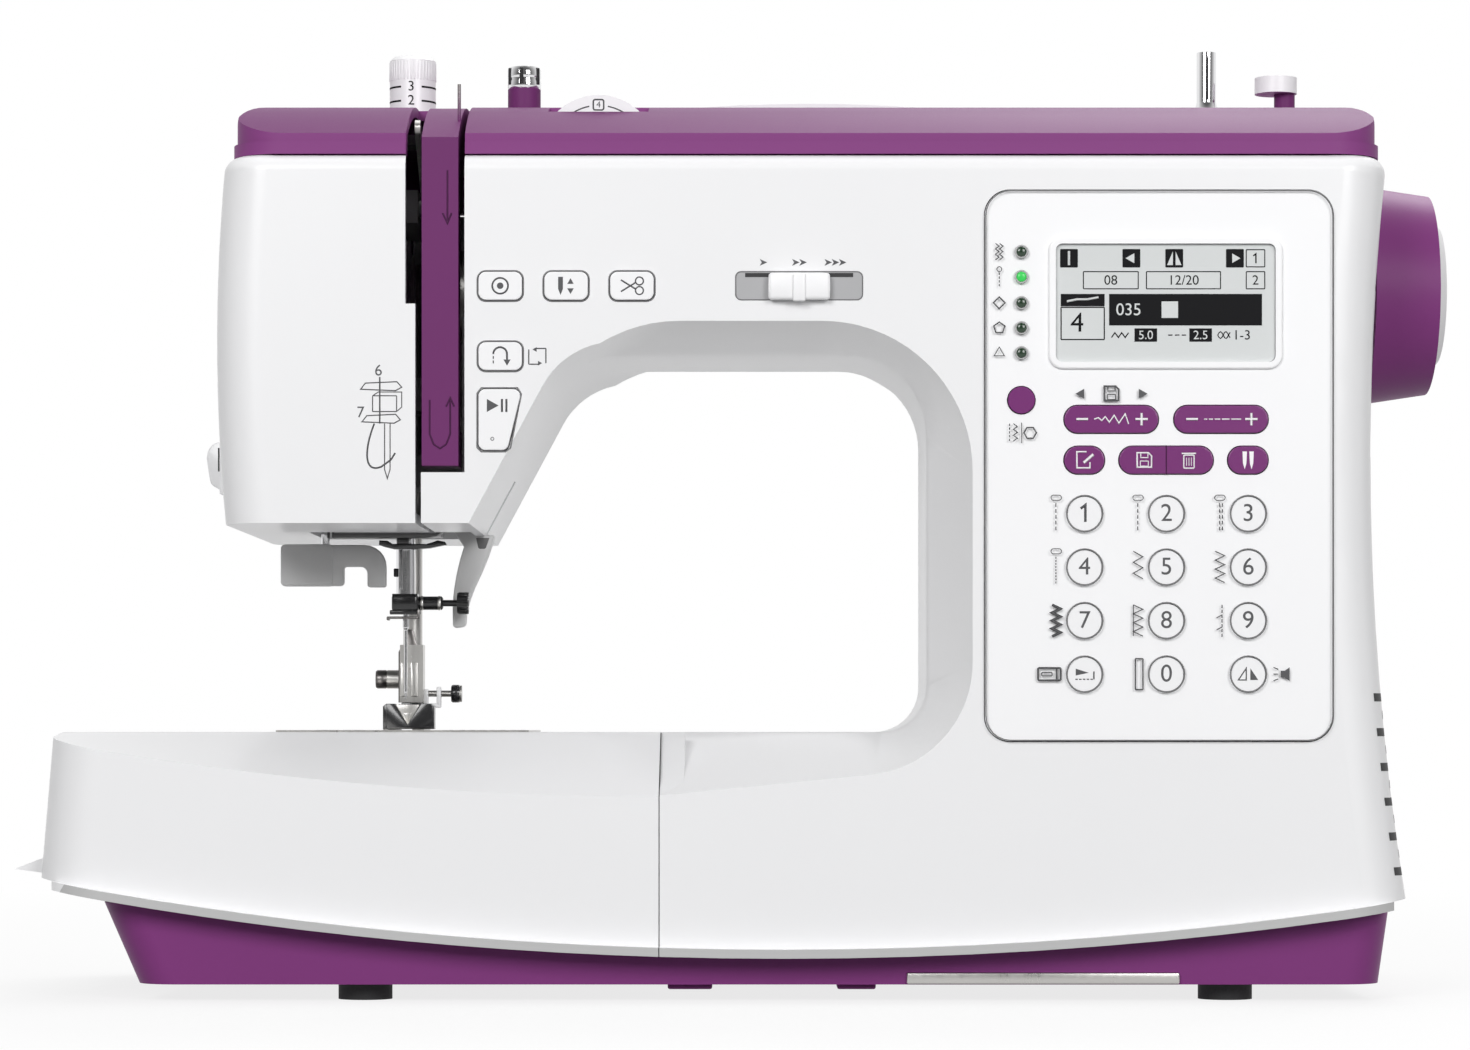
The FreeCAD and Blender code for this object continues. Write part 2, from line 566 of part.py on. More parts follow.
# Front casing: window for the panel, key holes, speed slot, vents and switch opening
front = carve(front_side, [block((EVERY[0], slot_start), EVERY, head_zone), strip_slot] + vents())
front_form = solid("FrontForm", front.removeSplitter())
window = prism("PanelWindow", "XZ_Plane",
               rectangle("panel_left", "panel_right", "panel_low", "panel_high", "panel_gap"), "wall * 4",
               "panel_round + panel_gap", "", ("0", "wall * 3 - half_depth", "0"))
touch_holes = [key_form("Hole_" + name, key, "key_gap", "wall * 4", "-half_depth - wall")
               for name, key in KEYS.items() if name not in PANEL_KEYS]
speed_slot = box("SpeedSlot", ("speed_x - speed_half", "speed_x + speed_half"),
                 ("-half_depth - wall", "-half_depth + wall * 2"),
                 ("touch_row_z - speed_slot / 2", "touch_row_z + speed_slot / 2"))
switch_hole = box("SwitchHole", ("column_waist_x - switch_deep * 2", "column_waist_x + switch_deep"),
                  ("switch_y - switch_long / 2 - switch_gap", "switch_y + switch_long / 2 + switch_gap"),
                  ("switch_z - switch_high / 2 - switch_gap", "switch_z + switch_high / 2 + switch_gap"))
shaft_hole = rod("ShaftHole", "x", "shaft_radius + 1", "wall * 10", "column_waist_x - wall * 4", "0",
                 "shaft_z")
node(cut("FrontHousing", front_form, window, speed_slot, switch_hole, shaft_hole, *touch_holes),
     "front_housing")

# Control panel with its raised screen frame and the pegs that carry the board
plate = prism("PanelPlate", "XZ_Plane", rectangle("panel_left", "panel_right", "panel_low", "panel_high"),
              "wall + panel_proud", "panel_round", "", ("0", "wall - half_depth", "0"))
bezel = prism("ScreenFrame", "XZ_Plane", rectangle("screen_left", "screen_right", "screen_low",
                                                   "screen_high",
              "bezel_rim"), "wall + bezel_proud", "screen_round + bezel_rim", "bezel_proud * 0.6",
              ("0", "wall - half_depth", "0"))
screen_hole = prism("ScreenHole", "XZ_Plane", rectangle("screen_left", "screen_right", "screen_low",
                    "screen_high", "screen_gap"), "wall * 4", "screen_round", "",
                    ("0", "wall * 2 - half_depth", "0"))
panel_holes = [key_form("Hole_" + name, KEYS[name], "key_gap", "wall * 4", "-half_depth - wall")
               for name in PANEL_KEYS]
pegs = [rod(f"BoardPeg{i}{k}", "y", "peg_radius", "board_gap", x, "wall - half_depth", z)
        for i, x in enumerate(("panel_left + peg_inset + wall", "panel_right - peg_inset - wall"))
        for k, z in enumerate(("panel_low + peg_inset + wall", "panel_high - peg_inset - wall"))]
node(cut("ControlPanel", fuse("PanelForm", plate, bezel, *pegs), screen_hole, *panel_holes),
     "control_panel")
node(box("CircuitBoard", ("panel_left + wall", "panel_right - wall"),
         ("wall - half_depth + board_gap", "wall - half_depth + board_gap + board_thick"),
         ("panel_low + wall", "panel_high - wall")), "circuit_board")
node(prism("LcdWindow", "XZ_Plane", rectangle("screen_left", "screen_right", "screen_low", "screen_high"),
           "wall", "screen_round", "", ("0", "wall - half_depth", "0")), "lcd_window")
for name, key in KEYS.items():
    node(key_form("Key_" + name, key, "0", "key_depth + key_proud", "-half_depth - key_proud", "key_edge"),
         name)

# Speed slider: a knob outside the slot and a keeper behind it, joined by the stem
knob = prism("SpeedKnob", "XZ_Plane", rectangle("speed_x - speed_knob / 2", "speed_x + speed_knob / 2",
             "touch_row_z - speed_knob_high / 2", "touch_row_z + speed_knob_high / 2"), "speed_knob_proud",
             "touch_round", "key_edge", ("0", "-half_depth - fit_gap", "0"))
stem = box("SpeedStem", ("speed_x - speed_stem / 2", "speed_x + speed_stem / 2"),
           ("-half_depth - fit_gap * 2", "wall - half_depth + fit_gap * 2"),
           ("touch_row_z - speed_slot / 2 + fit_gap", "touch_row_z + speed_slot / 2 - fit_gap"))
keeper = box("SpeedKeeper", ("speed_x - speed_keeper / 2", "speed_x + speed_keeper / 2"),
             ("wall - half_depth + fit_gap", "wall - half_depth + fit_gap + panel_round / 4"),
             ("touch_row_z - speed_slot", "touch_row_z + speed_slot"))
node(fuse("SpeedSlider", knob, stem, keeper), "speed_slider")
node(prism("PowerSwitch", "YZ_Plane", rectangle("switch_y - switch_long / 2", "switch_y + switch_long / 2",
           "switch_z - switch_high / 2", "switch_z + switch_high / 2"), "switch_deep + switch_proud",
           "key_edge * 2", "key_edge * 2", ("column_waist_x - switch_deep", "0", "0")), "power_switch")

# Thread panel: the strip between the two slots, bent over the top
strip_front, strip_top = size("strip_face") - HALF, size("cover_top") - FIT
strip_low = size("slot_bottom") + size("panel_strip_gap")
strip_back = size("lever_slot_back") - FIT
strip_inner = strip_front + size("strip_thick")
strip_x = slot_start + FIT / 2
bend = size("crown_round")


def brow(drop):
    """What lies above the long front slope of the top cover, lowered by drop."""
    back, top, foot = size("brow_back"), size("cover_top") - drop, size("brow_foot") - drop
    reach, rise = back + HALF, top - foot
    radius = (reach ** 2 + rise ** 2) / (2 * rise)
    half_turn = math.asin(reach / radius) / 2
    ends = [Vector(EVERY[0], back, top),
            Vector(EVERY[0], back - radius * math.sin(half_turn), top - radius * (1 - math.cos(half_turn))),
            Vector(EVERY[0], -HALF, foot)]
    corners = [ends[2], Vector(EVERY[0], -2 * HALF, foot), Vector(EVERY[0], -2 * HALF, top + HALF),
               Vector(EVERY[0], back, top + HALF), ends[0]]
    edges = [Part.Arc(*ends).toShape()]
    edges += [Part.LineSegment(a, b).toShape() for a, b in zip(corners, corners[1:])]
    return Part.Face(Part.Wire(Part.sortEdges(edges)[0])).extrude(Vector(EVERY[1] - EVERY[0], 0, 0))


strip = rounded([(Vector(strip_x, y, z), r) for y, z, r in (
    (strip_front, strip_low, 0), (strip_front, strip_top, bend), (strip_back, strip_top, 0),
    (strip_back, strip_top - 2 * size("strip_thick"), 0),
    (strip_inner, strip_top - 2 * size("strip_thick"), 0), (strip_inner, strip_low, 0))])
strip_width = size("slot_right") - size("strip_right_gap") - strip_x
strip_form = Part.Face(strip).extrude(Vector(strip_width, 0, 0)).cut(brow(FIT))
pin_x = strip_x + strip_width - size("guide_pin_radius")
guide_pin = Part.makeCylinder(size("guide_pin_radius"),
                              size("guide_pin_rise") + FIT + size("strip_thick"),
                              Vector(pin_x, strip_front + bend + WALL, strip_top - size("strip_thick")))
strip_heel = block((strip_x, strip_x + strip_width), (strip_inner - WALL, size("slot_depth") - HALF - FIT),
                   (strip_low, strip_low + strip_width))
node(solid("ThreadPanel", strip_form.fuse([guide_pin, strip_heel]).removeSplitter()), "thread_panel")

# Top cover with its posts, dial ears and handle ears
flange = prism("CoverFlange", "XY_Plane", rectangle("head_left + cover_inset", "column_top_x - cover_inset",
               "cover_inset - half_depth", "half_depth - cover_inset"), "cover_flange", "cover_round", "",
               ("0", "0", "cover_seat"))
crown = prism("CoverCrown", "XY_Plane", rectangle("head_left + cover_inset", "column_top_x - cover_inset",
              "cover_inset - half_depth", "half_depth - cover_inset", "-cover_step"),
              "cover_top - cover_seat - cover_flange", "cover_round - cover_step", "crown_round",
              ("0", "0", "cover_seat + cover_flange"))
cover_room = prism("CoverRoom", "XY_Plane", rectangle("head_left + cover_inset",
                                                      "column_top_x - cover_inset",
                   "cover_inset - half_depth", "half_depth - cover_inset",
                   "-crown_round * 0.55 - cover_step"),
                   "cover_top - cover_seat", "cover_round - crown_round * 0.55", "",
                   ("0", "0", "cover_seat - wall"))
cover_slot = box("CoverSlot", ("slot_left - slot_wide", "slot_right"), ("-half_depth * 2",
                                                                        "lever_slot_back"),
                 ("cover_seat - wall", "cover_top + wall"))
dial_slot = box("DialSlot", ("dial_x - dial_radius * 0.85", "dial_x + dial_radius * 0.85"),
                ("dial_y - dial_width / 2 - dial_gap", "dial_y + dial_width / 2 + dial_gap"),
                ("dial_z", "cover_top + wall"))
knob_hole = rod("KnobHole", "z", "knob_radius + fit_gap", "wall * 4", "presser_x", "presser_y",
                "cover_top - wall * 2")
spindle_hole = rod("SpindleHole", "z", "spindle_radius + run_gap", "wall * 4", "spindle_x", "spindle_y",
                   "cover_top - wall * 2")
dial_ear = box("DialEar", ("dial_x - dial_axle_radius * 3", "dial_x + dial_axle_radius * 3"),
               ("dial_y + dial_width / 2 + dial_gap", "dial_y + dial_width / 2 + dial_gap + dial_ear"),
               ("dial_z - dial_axle_radius * 2", "cover_top - wall / 2"))
ear_bore = rod("EarBore", "y", "dial_axle_radius + run_gap", "dial_ear * 3", "dial_x",
               "dial_y + dial_width / 2 - dial_ear", "dial_z")
tension_post = rod("TensionPost", "z", "post_radius", "post_height + wall", "post_x", "post_y",
                   "cover_top - wall")
tension_disc = rod("TensionDisc", "z", "disc_radius", "disc_height", "post_x", "post_y",
                   "cover_top + post_height")
stop_stem = rod("StopStem", "z", "stop_stem_radius", "stop_stem + wall", "stop_x", "spindle_y",
                "cover_top - wall")
stop_cap = rod("StopCap", "z", "stop_cap_radius", "stop_cap", "stop_x - stop_offset", "spindle_y",
               "cover_top + stop_stem")
ears, ear_bores = [], []
for side in ("-", "+"):
    outer = f"handle_x {side} (handle_half - handle_arm - fit_gap)"
    inner = f"handle_x {side} (handle_half - handle_arm - fit_gap - ear_thick)"
    low, high = (outer, inner) if side == "-" else (inner, outer)
    ears.append(box("HandleEar" + ("Left" if side == "-" else "Right"), (low, high),
                    ("handle_pin_y - ear_half", "handle_pin_y + ear_half"),
                    ("cover_top - wall", "cover_top + handle_pin_rise + ear_half")))
    ear_bores.append(rod("HandleBore" + ("Left" if side == "-" else "Right"), "x",
                         "handle_pin_radius + run_gap",
                         "ear_thick + wall", f"{low} - wall / 2", "handle_pin_y",
                         "cover_top + handle_pin_rise"))
cover_form = cut("CoverForm", fuse("CoverBlock", flange, crown), solid("CoverBrow", brow(0)))
room_form = cut("CoverRoomForm", cover_room, solid("RoomBrow", brow(WALL)))
cover_shell = cut("CoverShell", cover_form, room_form, cover_slot, dial_slot)
node(cut("TopCover", fuse("CoverDressed", cover_shell, dial_ear, tension_post, tension_disc, stop_stem,
                          stop_cap,
                          *ears), knob_hole, spindle_hole, ear_bore, *ear_bores), "top_cover")

# Carry handle: a bowed grip, two arms and the pins that turn in the cover's ears
grip_left, grip_right = size("handle_x") - size("handle_half"), size("handle_x") + size("handle_half")
grip_low = size("cover_top") + FIT
grip_ends = [Vector(x, size("handle_front"), z) for x, z in (
    (grip_left, grip_low), (grip_right, grip_low), (grip_right, grip_low + size("handle_end")),
    (size("handle_x"), grip_low + size("handle_rise")), (grip_left, grip_low + size("handle_end")))]
grip_edges = [Part.LineSegment(grip_ends[0], grip_ends[1]).toShape(),
              Part.LineSegment(grip_ends[1], grip_ends[2]).toShape(),
              Part.Arc(grip_ends[2], grip_ends[3], grip_ends[4]).toShape(),
              Part.LineSegment(grip_ends[4], grip_ends[0]).toShape()]
handle = [Part.Face(Part.Wire(grip_edges)).extrude(Vector(0, size("handle_grip"), 0))]
pin_y, arm_wide = size("handle_pin_y"), size("handle_arm")
pin_z = size("cover_top") + size("handle_pin_rise")
arm_high = size("ear_half")
for outer, way in ((grip_left, 1), (grip_right, -1)):
    x = sorted((outer, outer + way * arm_wide))
    handle.append(block(x, (size("handle_front"), pin_y), (grip_low, grip_low + size("handle_end"))))
    handle.append(Part.makeCylinder(arm_high - FIT, arm_wide, Vector(x[0], pin_y, pin_z), Vector(1, 0, 0)))
    handle.append(Part.makeCylinder(size("handle_pin_radius"), arm_wide + size("ear_thick"),
                                    Vector(outer, pin_y, pin_z), Vector(way, 0, 0)))
node(solid("CarryHandle", handle[0].multiFuse(handle[1:]).removeSplitter()), "carry_handle")

# Dials and winder
dial = rod("DialWheel", "y", "dial_radius", "dial_width", "dial_x", "dial_y - dial_width / 2", "dial_z")
axle = rod("DialAxle", "y", "dial_axle_radius", "dial_width / 2 + dial_gap + dial_ear", "dial_x", "dial_y",
           "dial_z")
node(fuse("TensionDial", dial, axle), "tension_dial")
node(revolve("PressureKnob", "XZ_Plane", [("0", "-knob_skirt"), ("knob_radius", "-knob_skirt"),
             ("knob_radius", "knob_height - fit_gap * 4"),
             ("knob_radius - fit_gap * 4", "knob_height"), ("0", "knob_height")],
             at=("presser_x", "presser_y", "cover_top")), "pressure_knob")
node(fuse("WinderSpindle", rod("SpindleRod", "z", "spindle_radius", "spindle_height + wall * 3",
                               "spindle_x", "spindle_y", "cover_top - wall * 3"),
          rod("SpindleFlange", "z", "spindle_flange", "wall / 2", "spindle_x", "spindle_y",
              "cover_top + fit_gap")),
     "winder_spindle")


def crown_wedge():
    """What rounds the table's top edge down to its crease, which rises towards the free end."""
    left, right = size("table_left") - 2 * WALL, size("seam_x") + 2 * WALL
    span = size("seam_x") - size("table_left")
    high = size("bed_top") + 6 * WALL
    wires = []
    for y, lift, crease in ((-HALF - FIT, size("crease_lift"), size("bed_crease")),
                            (-HALF + size("crown_depth"), 0.0, size("bed_top"))):
        points = [Vector(x, y, crease + lift * ((size("seam_x") - x) / span) ** 2)
                  for x in (left, (left + right) / 2, right)]
        curve = Part.BSplineCurve()
        curve.interpolate(points)
        wires.append(Part.Wire([curve.toShape(),
                                Part.LineSegment(points[2], Vector(right, y, high)).toShape(),
                                Part.LineSegment(Vector(right, y, high), Vector(left, y, high)).toShape(),
                                Part.LineSegment(Vector(left, y, high), points[0]).toShape()]))
    return both_sides(Part.makeLoft(wires, True, True))


def table_shape():
    """U-shaped extension table that slides over the free arm, open underneath."""
    left, seam, bed = size("table_left"), size("seam_x") - FIT, size("bed_top")
    top_left = left + size("table_lean")
    corners = [Vector(left, -HALF, lip_height(left)), Vector(top_left, -HALF, bed), Vector(seam, -HALF,
                                                                                           bed),
               Vector(seam, -HALF, lip_height(seam))]
    edges = [Part.LineSegment(corners[i], corners[i + 1]).toShape() for i in range(3)]
    edges.append(lip_arc(left, seam, -HALF))
    form = Part.Face(Part.Wire(Part.sortEdges(edges)[0])).extrude(Vector(0, 2 * HALF, 0))
    ends = [e for e in form.Edges if e.BoundBox.YLength < FIT and e.BoundBox.XMax < top_left + FIT]
    form = form.makeFillet(size("table_round"), ends).cut(crown_wedge()).fuse(lip_band(left, seam))
    catch_y, reach = size("catch_y"), size("catch_half_width")
    wedge = Part.makePolygon([Vector(x, catch_y - reach, z) for x, z in (
        (left + WALL, size("catch_z")), (left - size("catch_reach"),
                                         size("catch_z") + size("catch_height") / 4),
        (left + WALL, size("catch_z") + size("catch_height")), (left + WALL, size("catch_z")))])
    form = form.fuse(Part.Face(wedge).extrude(Vector(0, 2 * reach, 0)))
    arm_wide, gap = size("arm_half_width") + size("arm_gap"), size("arm_gap")
    past = seam + 2 * WALL
    rail = block((left + size("table_round"), seam - WALL), (WALL - HALF, -arm_wide - WALL),
                 (-1, size("bed_crease") - WALL))
    rooms = [block((size("arm_left") - gap, past), (-arm_wide, arm_wide), (-1, bed + 2 * WALL)),
             both_sides(rail), base_pocket(size("base_left") - WALL, past + size("base_round")),
             block((top_left + WALL, size("arm_left") - gap - WALL), (-arm_wide, arm_wide), (-1,
                                                                                             bed - WALL))]
    return carve(form, rooms).removeSplitter()


def base_shape():
    """Tapered tray with a floor and four walls."""
    half = HALF - WALL - 2 * FIT
    left, right, taper = size("base_left"), size("base_right"), size("base_taper")
    low, high, radius = size("base_bottom"), size("base_top"), size("base_round")
    outer = Part.makeLoft([level(left + size("base_taper_left"), right - taper, half - taper, low, radius),
                           level(left, right, half, high, radius)], True, True)
    inset = WALL + taper
    room = Part.Face(level(left + size("base_taper_left") + WALL, right - inset, half - inset, low + WALL,
                           radius - WALL)).extrude(Vector(0, 0, high))
    return outer.cut(room)


node(solid("ExtensionTable", table_shape()), "extension_table")
node(solid("BaseTray", base_shape()), "base_tray")
feet = [rod(f"Foot{i}{k}", "z", "foot_radius", "base_bottom", x, y, "0")
        for i, x in enumerate(("foot_left_x", "foot_right_x")) for k, y in enumerate(("-foot_y", "foot_y"))]
node(fuse("RubberFeet", *feet), "rubber_feet")

# Frame: post, arm beam, bed beam, bearings, guides and the motor plate
HOOK_Y = "(-gear_radius - hook_gear_radius - gear_gap)"
PLATE_TOP = "bed_top + plate_proud"
BEAM = ("beam_front", "beam_back")
GUIDE_END = "inner_left - wall - fit_gap"
REACH = ("-shaft_radius - bracket / 2", "beam_front + wall")
plate_x = ("motor_x + motor_length", "motor_x + motor_length + motor_plate")
frame_parts = [
    box("ArmBeam", ("needle_x - guide_half", "post_right"), BEAM, ("beam_low", "beam_high")),
    box("ColumnPost", ("post_left", plate_x[1]), BEAM, ("base_bottom + wall", "beam_high")),
    box("BedBeam", ("hook_x - guide_half", "post_right"), BEAM, ("lower_z - bracket", "lower_z + bracket")),
    box("BedLeg", ("rear_bearing_x", "rear_bearing_x + bracket"), BEAM, ("base_bottom + wall", "lower_z")),
    box("HeadPost", ("needle_x - guide_half", "needle_x - guide_half + bracket"), BEAM,
        ("guide_low", "beam_high")),
    box("LowGuide", ("threader_x - wall * 2", GUIDE_END), ("threader_y - wall * 2", "beam_back"),
        ("guide_low", "guide_low + bracket")),
    box("MidGuide", ("needle_x - guide_half", "needle_x + wall * 2"), ("-needle_bar_radius - wall",
                                                                       "beam_back"),
        ("guide_mid", "guide_mid + bracket")),
    box("HeadPlate", ("threader_x + wall", "presser_x + wall * 3"), ("-needle_bar_radius - wall * 3",
                                                                     "beam_front"),
        ("head_bottom", "head_bottom + wall")),
    box("PlateStay", ("needle_x - guide_half", "needle_x - guide_half + wall"), ("beam_front - wall * 2",
                                                                                 "beam_front"),
        ("head_bottom", "guide_low + wall")),
    box("LifterEar", ("lifter_x - wall * 2", GUIDE_END),
        ("lifter_y + lifter_thick + fit_gap", "beam_front"), ("lifter_z - wall * 1.5", "guide_low + wall")),
    box("TopGuide", ("needle_x - wall * 2", "needle_x + wall * 2"), ("take_up_y - wall * 2", "beam_back"),
        ("take_up_z - bracket / 2", "take_up_z + bracket / 2")),
    box("TopStay", ("needle_x - guide_half", "needle_x + wall * 2"), BEAM, ("beam_low",
                                                                            "take_up_z + bracket / 2")),
    rod("TakeUpPin", "x", "take_up_pin", "slot_left - needle_x", "needle_x", "take_up_y", "take_up_z"),
    box("FrontBearing", ("post_left", "post_left + bracket"), REACH, ("shaft_z - bracket",
                                                                      "shaft_z + bracket")),
    box("RearBearing", ("rear_bearing_x", "rear_bearing_x + bracket"), REACH,
        ("shaft_z - bracket", "shaft_z + bracket")),
    box("LowFrontBearing", ("post_left", "post_left + bracket"), REACH, ("lower_z - bracket",
                                                                         "lower_z + bracket")),
    box("LowRearBearing", ("rear_bearing_x", "rear_bearing_x + bracket"), REACH,
        ("lower_z - bracket", "lower_z + bracket")),
    box("HookBracket", ("hook_x - bracket", "hook_x + bracket"), (HOOK_Y + " - bracket",
                                                                  "beam_front + wall"),
        ("hook_bottom - hook_seat - fit_gap", "hook_bottom - fit_gap")),
    box("HookStay", ("hook_x - bracket", "hook_x + bracket"), BEAM, ("lower_z", "hook_bottom - fit_gap")),
    box("MotorPlate", plate_x, ("motor_y - motor_radius", "beam_back"),
        ("motor_z - motor_radius", "motor_z + motor_radius")),
]
bore_long = "column_top_x - head_left"
frame_bores = [
    rod("ShaftBore", "x", "shaft_radius + run_gap", bore_long, "head_left", "0", "shaft_z"),
    rod("LowerBore", "x", "shaft_radius + run_gap", bore_long, "head_left", "0", "lower_z"),
    rod("NeedleBore", "z", "needle_bar_radius + run_gap", "needle_bar_top - needle_bar_foot", "needle_x",
        "0",
        "needle_bar_foot"),
    rod("PresserBore", "z", "presser_radius + run_gap", "presser_top - ankle_top", "presser_x", "presser_y",
        "ankle_top"),
    rod("ThreaderBore", "z", "threader_rod + run_gap", "threader_top - threader_z", "threader_x",
        "threader_y",
        "threader_z"),
    rod("LifterBore", "y", "lifter_pin + run_gap", "beam_front", "lifter_x", "lifter_y", "lifter_z"),
    rod("HookBore", "z", "hook_shaft + run_gap", "bracket * 2", "hook_x", HOOK_Y, "hook_bottom - bracket"),
    rod("MotorBore", "x", "motor_shaft + wall", "wall * 6", "motor_x + motor_length - wall * 2", "motor_y",
        "motor_z"),
]
frame_form = frame_parts[0]
for i, part in enumerate(frame_parts[1:]):
    frame_form = fuse(f"FrameForm{i}", frame_form, part)
node(cut("MainFrame", frame_form, *frame_bores), "main_frame")

# Drive: upper shaft with crank and pulleys, handwheel, belts, motor and lower shaft
shaft = fuse("UpperShaft",
             rod("ShaftRod", "x", "shaft_radius", "wheel_x + wheel_width - wall - fit_gap - crank_x",
                 "crank_x", "0",
                 "shaft_z"),
             rod("CrankDisc", "x", "crank_radius", "crank_thick", "crank_x", "0", "shaft_z"),
             rod("CrankPin", "x", "shaft_radius / 2", "crank_thick", "crank_x - crank_thick / 2", "0",
                 "shaft_z + crank_radius - shaft_radius"),
             rod("TimingPulley", "x", "pulley_radius", "belt_width", "belt_x", "0", "shaft_z"),
             rod("DrivePulley", "x", "drive_pulley_radius", "belt_width", "motor_belt_x", "0", "shaft_z"))
node(shaft, "upper_shaft")


def turned_about_x(name, corners, at):
    """A body turned about its own X axis from (length along, radius) corners."""
    body = doc.addObject("PartDesign::Body", name)
    sketch = sketch_on(body, "XY_Plane", name + "_profile")
    polygon(sketch, corners)
    turned = body.newObject("PartDesign::Revolution", name + "_turned")
    turned.Profile = sketch
    turned.ReferenceAxis = (sketch, ["H_Axis"])
    turned.Angle = 360
    place(body, *at)
    return body


node(turned_about_x("Handwheel", [
    ("0", "shaft_radius + run_gap"), ("0", "shaft_radius + wall * 2"), ("wheel_recess",
                                                                        "shaft_radius + wall * 2"),
    ("wheel_recess", "wheel_rim - wall"), ("0", "wheel_radius - wall"), ("0", "wheel_radius"),
    ("wheel_width", "wheel_rim"), ("wheel_width", "cap_radius + cap_reach"),
    ("wheel_width + cap_reach", "cap_radius"), ("wheel_width + cap_reach", "0"), ("wheel_width - wall",
                                                                                  "0"),
    ("wheel_width - wall", "shaft_radius + run_gap")], ("wheel_x", "0", "shaft_z")), "handwheel")


def belt_loop(x, first, second):
    """A flat belt round two pulleys, each (y, z, radius)."""
    loops = []
    for grow in (FIT / 2, FIT / 2 + size("belt_thick")):
        (y_a, z_a, r_a), (y_b, z_b, r_b) = first, second
        along = Vector(0, y_b - y_a, z_b - z_a)
        turn = math.degrees(math.acos((r_a - r_b) / along.Length))
        along.normalize()
        sides = [Rotation(Vector(1, 0, 0), s * turn).multVec(along) for s in (1, -1)]
        a, b = Vector(x, y_a, z_a), Vector(x, y_b, z_b)
        a_ends = [a + s * (r_a + grow) for s in sides]
        b_ends = [b + s * (r_b + grow) for s in sides]
        loops.append(Part.Face(Part.Wire([
            Part.Arc(a_ends[0], a - along * (r_a + grow), a_ends[1]).toShape(),
            Part.LineSegment(a_ends[1], b_ends[1]).toShape(),
            Part.Arc(b_ends[1], b + along * (r_b + grow), b_ends[0]).toShape(),
            Part.LineSegment(b_ends[0], a_ends[0]).toShape()])))
    return loops[1].cut(loops[0]).extrude(Vector(size("belt_width"), 0, 0))


upper_axis, lower_axis = (0, size("shaft_z")), (0, size("lower_z"))
timing = belt_loop(size("belt_x"), (*upper_axis, size("pulley_radius")), (*lower_axis,
                                                                          size("pulley_radius")))
driving = belt_loop(size("motor_belt_x"), (*upper_axis, size("drive_pulley_radius")),
                    (size("motor_y"), size("motor_z"), size("motor_pulley_radius")))
node(solid("DriveBelts", Part.makeCompound([timing, driving])), "drive_belts")
node(cut("Motor", rod("MotorCan", "x", "motor_radius", "motor_length", "motor_x", "motor_y", "motor_z"),
         rod("MotorShaftBore", "x", "motor_shaft + run_gap", "wall * 5",
             "motor_x + motor_length - wall * 4",
             "motor_y", "motor_z")), "motor")
node(fuse("MotorPulley",
          rod("MotorShaft", "x", "motor_shaft", "motor_belt_x - motor_x - motor_length + wall * 4",
              "motor_x + motor_length - wall * 3", "motor_y", "motor_z"),
          rod("MotorPulleyRim", "x", "motor_pulley_radius", "belt_width", "motor_belt_x", "motor_y",
              "motor_z")),
     "motor_pulley")
node(fuse("LowerShaft",
          rod("LowerRod", "x", "shaft_radius", "belt_x + belt_width - hook_x + gear_length / 2",
              "hook_x - gear_length / 2", "0", "lower_z"),
          rod("LowerGear", "x", "gear_radius", "gear_length", "hook_x - gear_length / 2", "0", "lower_z"),
          rod("LowerPulley", "x", "pulley_radius", "belt_width", "belt_x", "0", "lower_z")), "lower_shaft")

# Hook, bobbin, needle plate and feed
hook_form = fuse("HookForm",
                 rod("HookCup", "z", "hook_radius", "hook_top - hook_bottom", "hook_x", HOOK_Y,
                     "hook_bottom"),
                 rod("HookShaft", "z", "hook_shaft", "hook_bottom - lower_z + bracket / 2", "hook_x",
                     HOOK_Y,
                     "lower_z - bracket / 2"),
                 rod("HookGear", "z", "hook_gear_radius", "bracket", "hook_x", HOOK_Y,
                     "lower_z - bracket / 2"))
node(cut("RotaryHook", hook_form,
         rod("HookWell", "z", "hook_radius - hook_wall", "hook_top", "hook_x", HOOK_Y,
             "hook_bottom + hook_wall")),
     "rotary_hook")
node(revolve("Bobbin", "XZ_Plane", [
    ("bobbin_bore", "0"), ("bobbin_radius", "0"), ("bobbin_radius", "bobbin_flange"),
    ("bobbin_core", "bobbin_flange"), ("bobbin_core", "bobbin_height - bobbin_flange"),
    ("bobbin_radius", "bobbin_height - bobbin_flange"), ("bobbin_radius", "bobbin_height"),
    ("bobbin_bore", "bobbin_height")], at=("hook_x", HOOK_Y, "hook_bottom + hook_wall + fit_gap")),
    "bobbin")

LID = (("lid_left", "lid_right"), ("lid_front", "lid_back"))
plate_z = (f"{PLATE_TOP} - plate_thick", PLATE_TOP)
feed_x = [(f"needle_x {side} feed_gauge - feed_width / 2", f"needle_x {side} feed_gauge + feed_width / 2")
          for side in ("-", "+")]
feed_slots = [box(f"FeedSlot{i}", (f"{a} - feed_gap", f"{b} + feed_gap"),
                  ("feed_front - feed_gap", "feed_back + feed_gap"), ("bed_top - wall", "bed_top + wall"))
              for i, (a, b) in enumerate(feed_x)]
needle_hole = box("NeedleHole", ("needle_x - needle_slot / 2", "needle_x + needle_slot / 2"),
                  ("-needle_slot / 3", "needle_slot / 3"), ("bed_top - wall", "bed_top + wall"))
lid_seat = box("LidSeat", ("lid_left - fit_gap", "lid_right + fit_gap"), ("lid_front - fit_gap",
                                                                          "lid_back + fit_gap"),
               (f"{PLATE_TOP} - lid_thick", "bed_top + wall"))
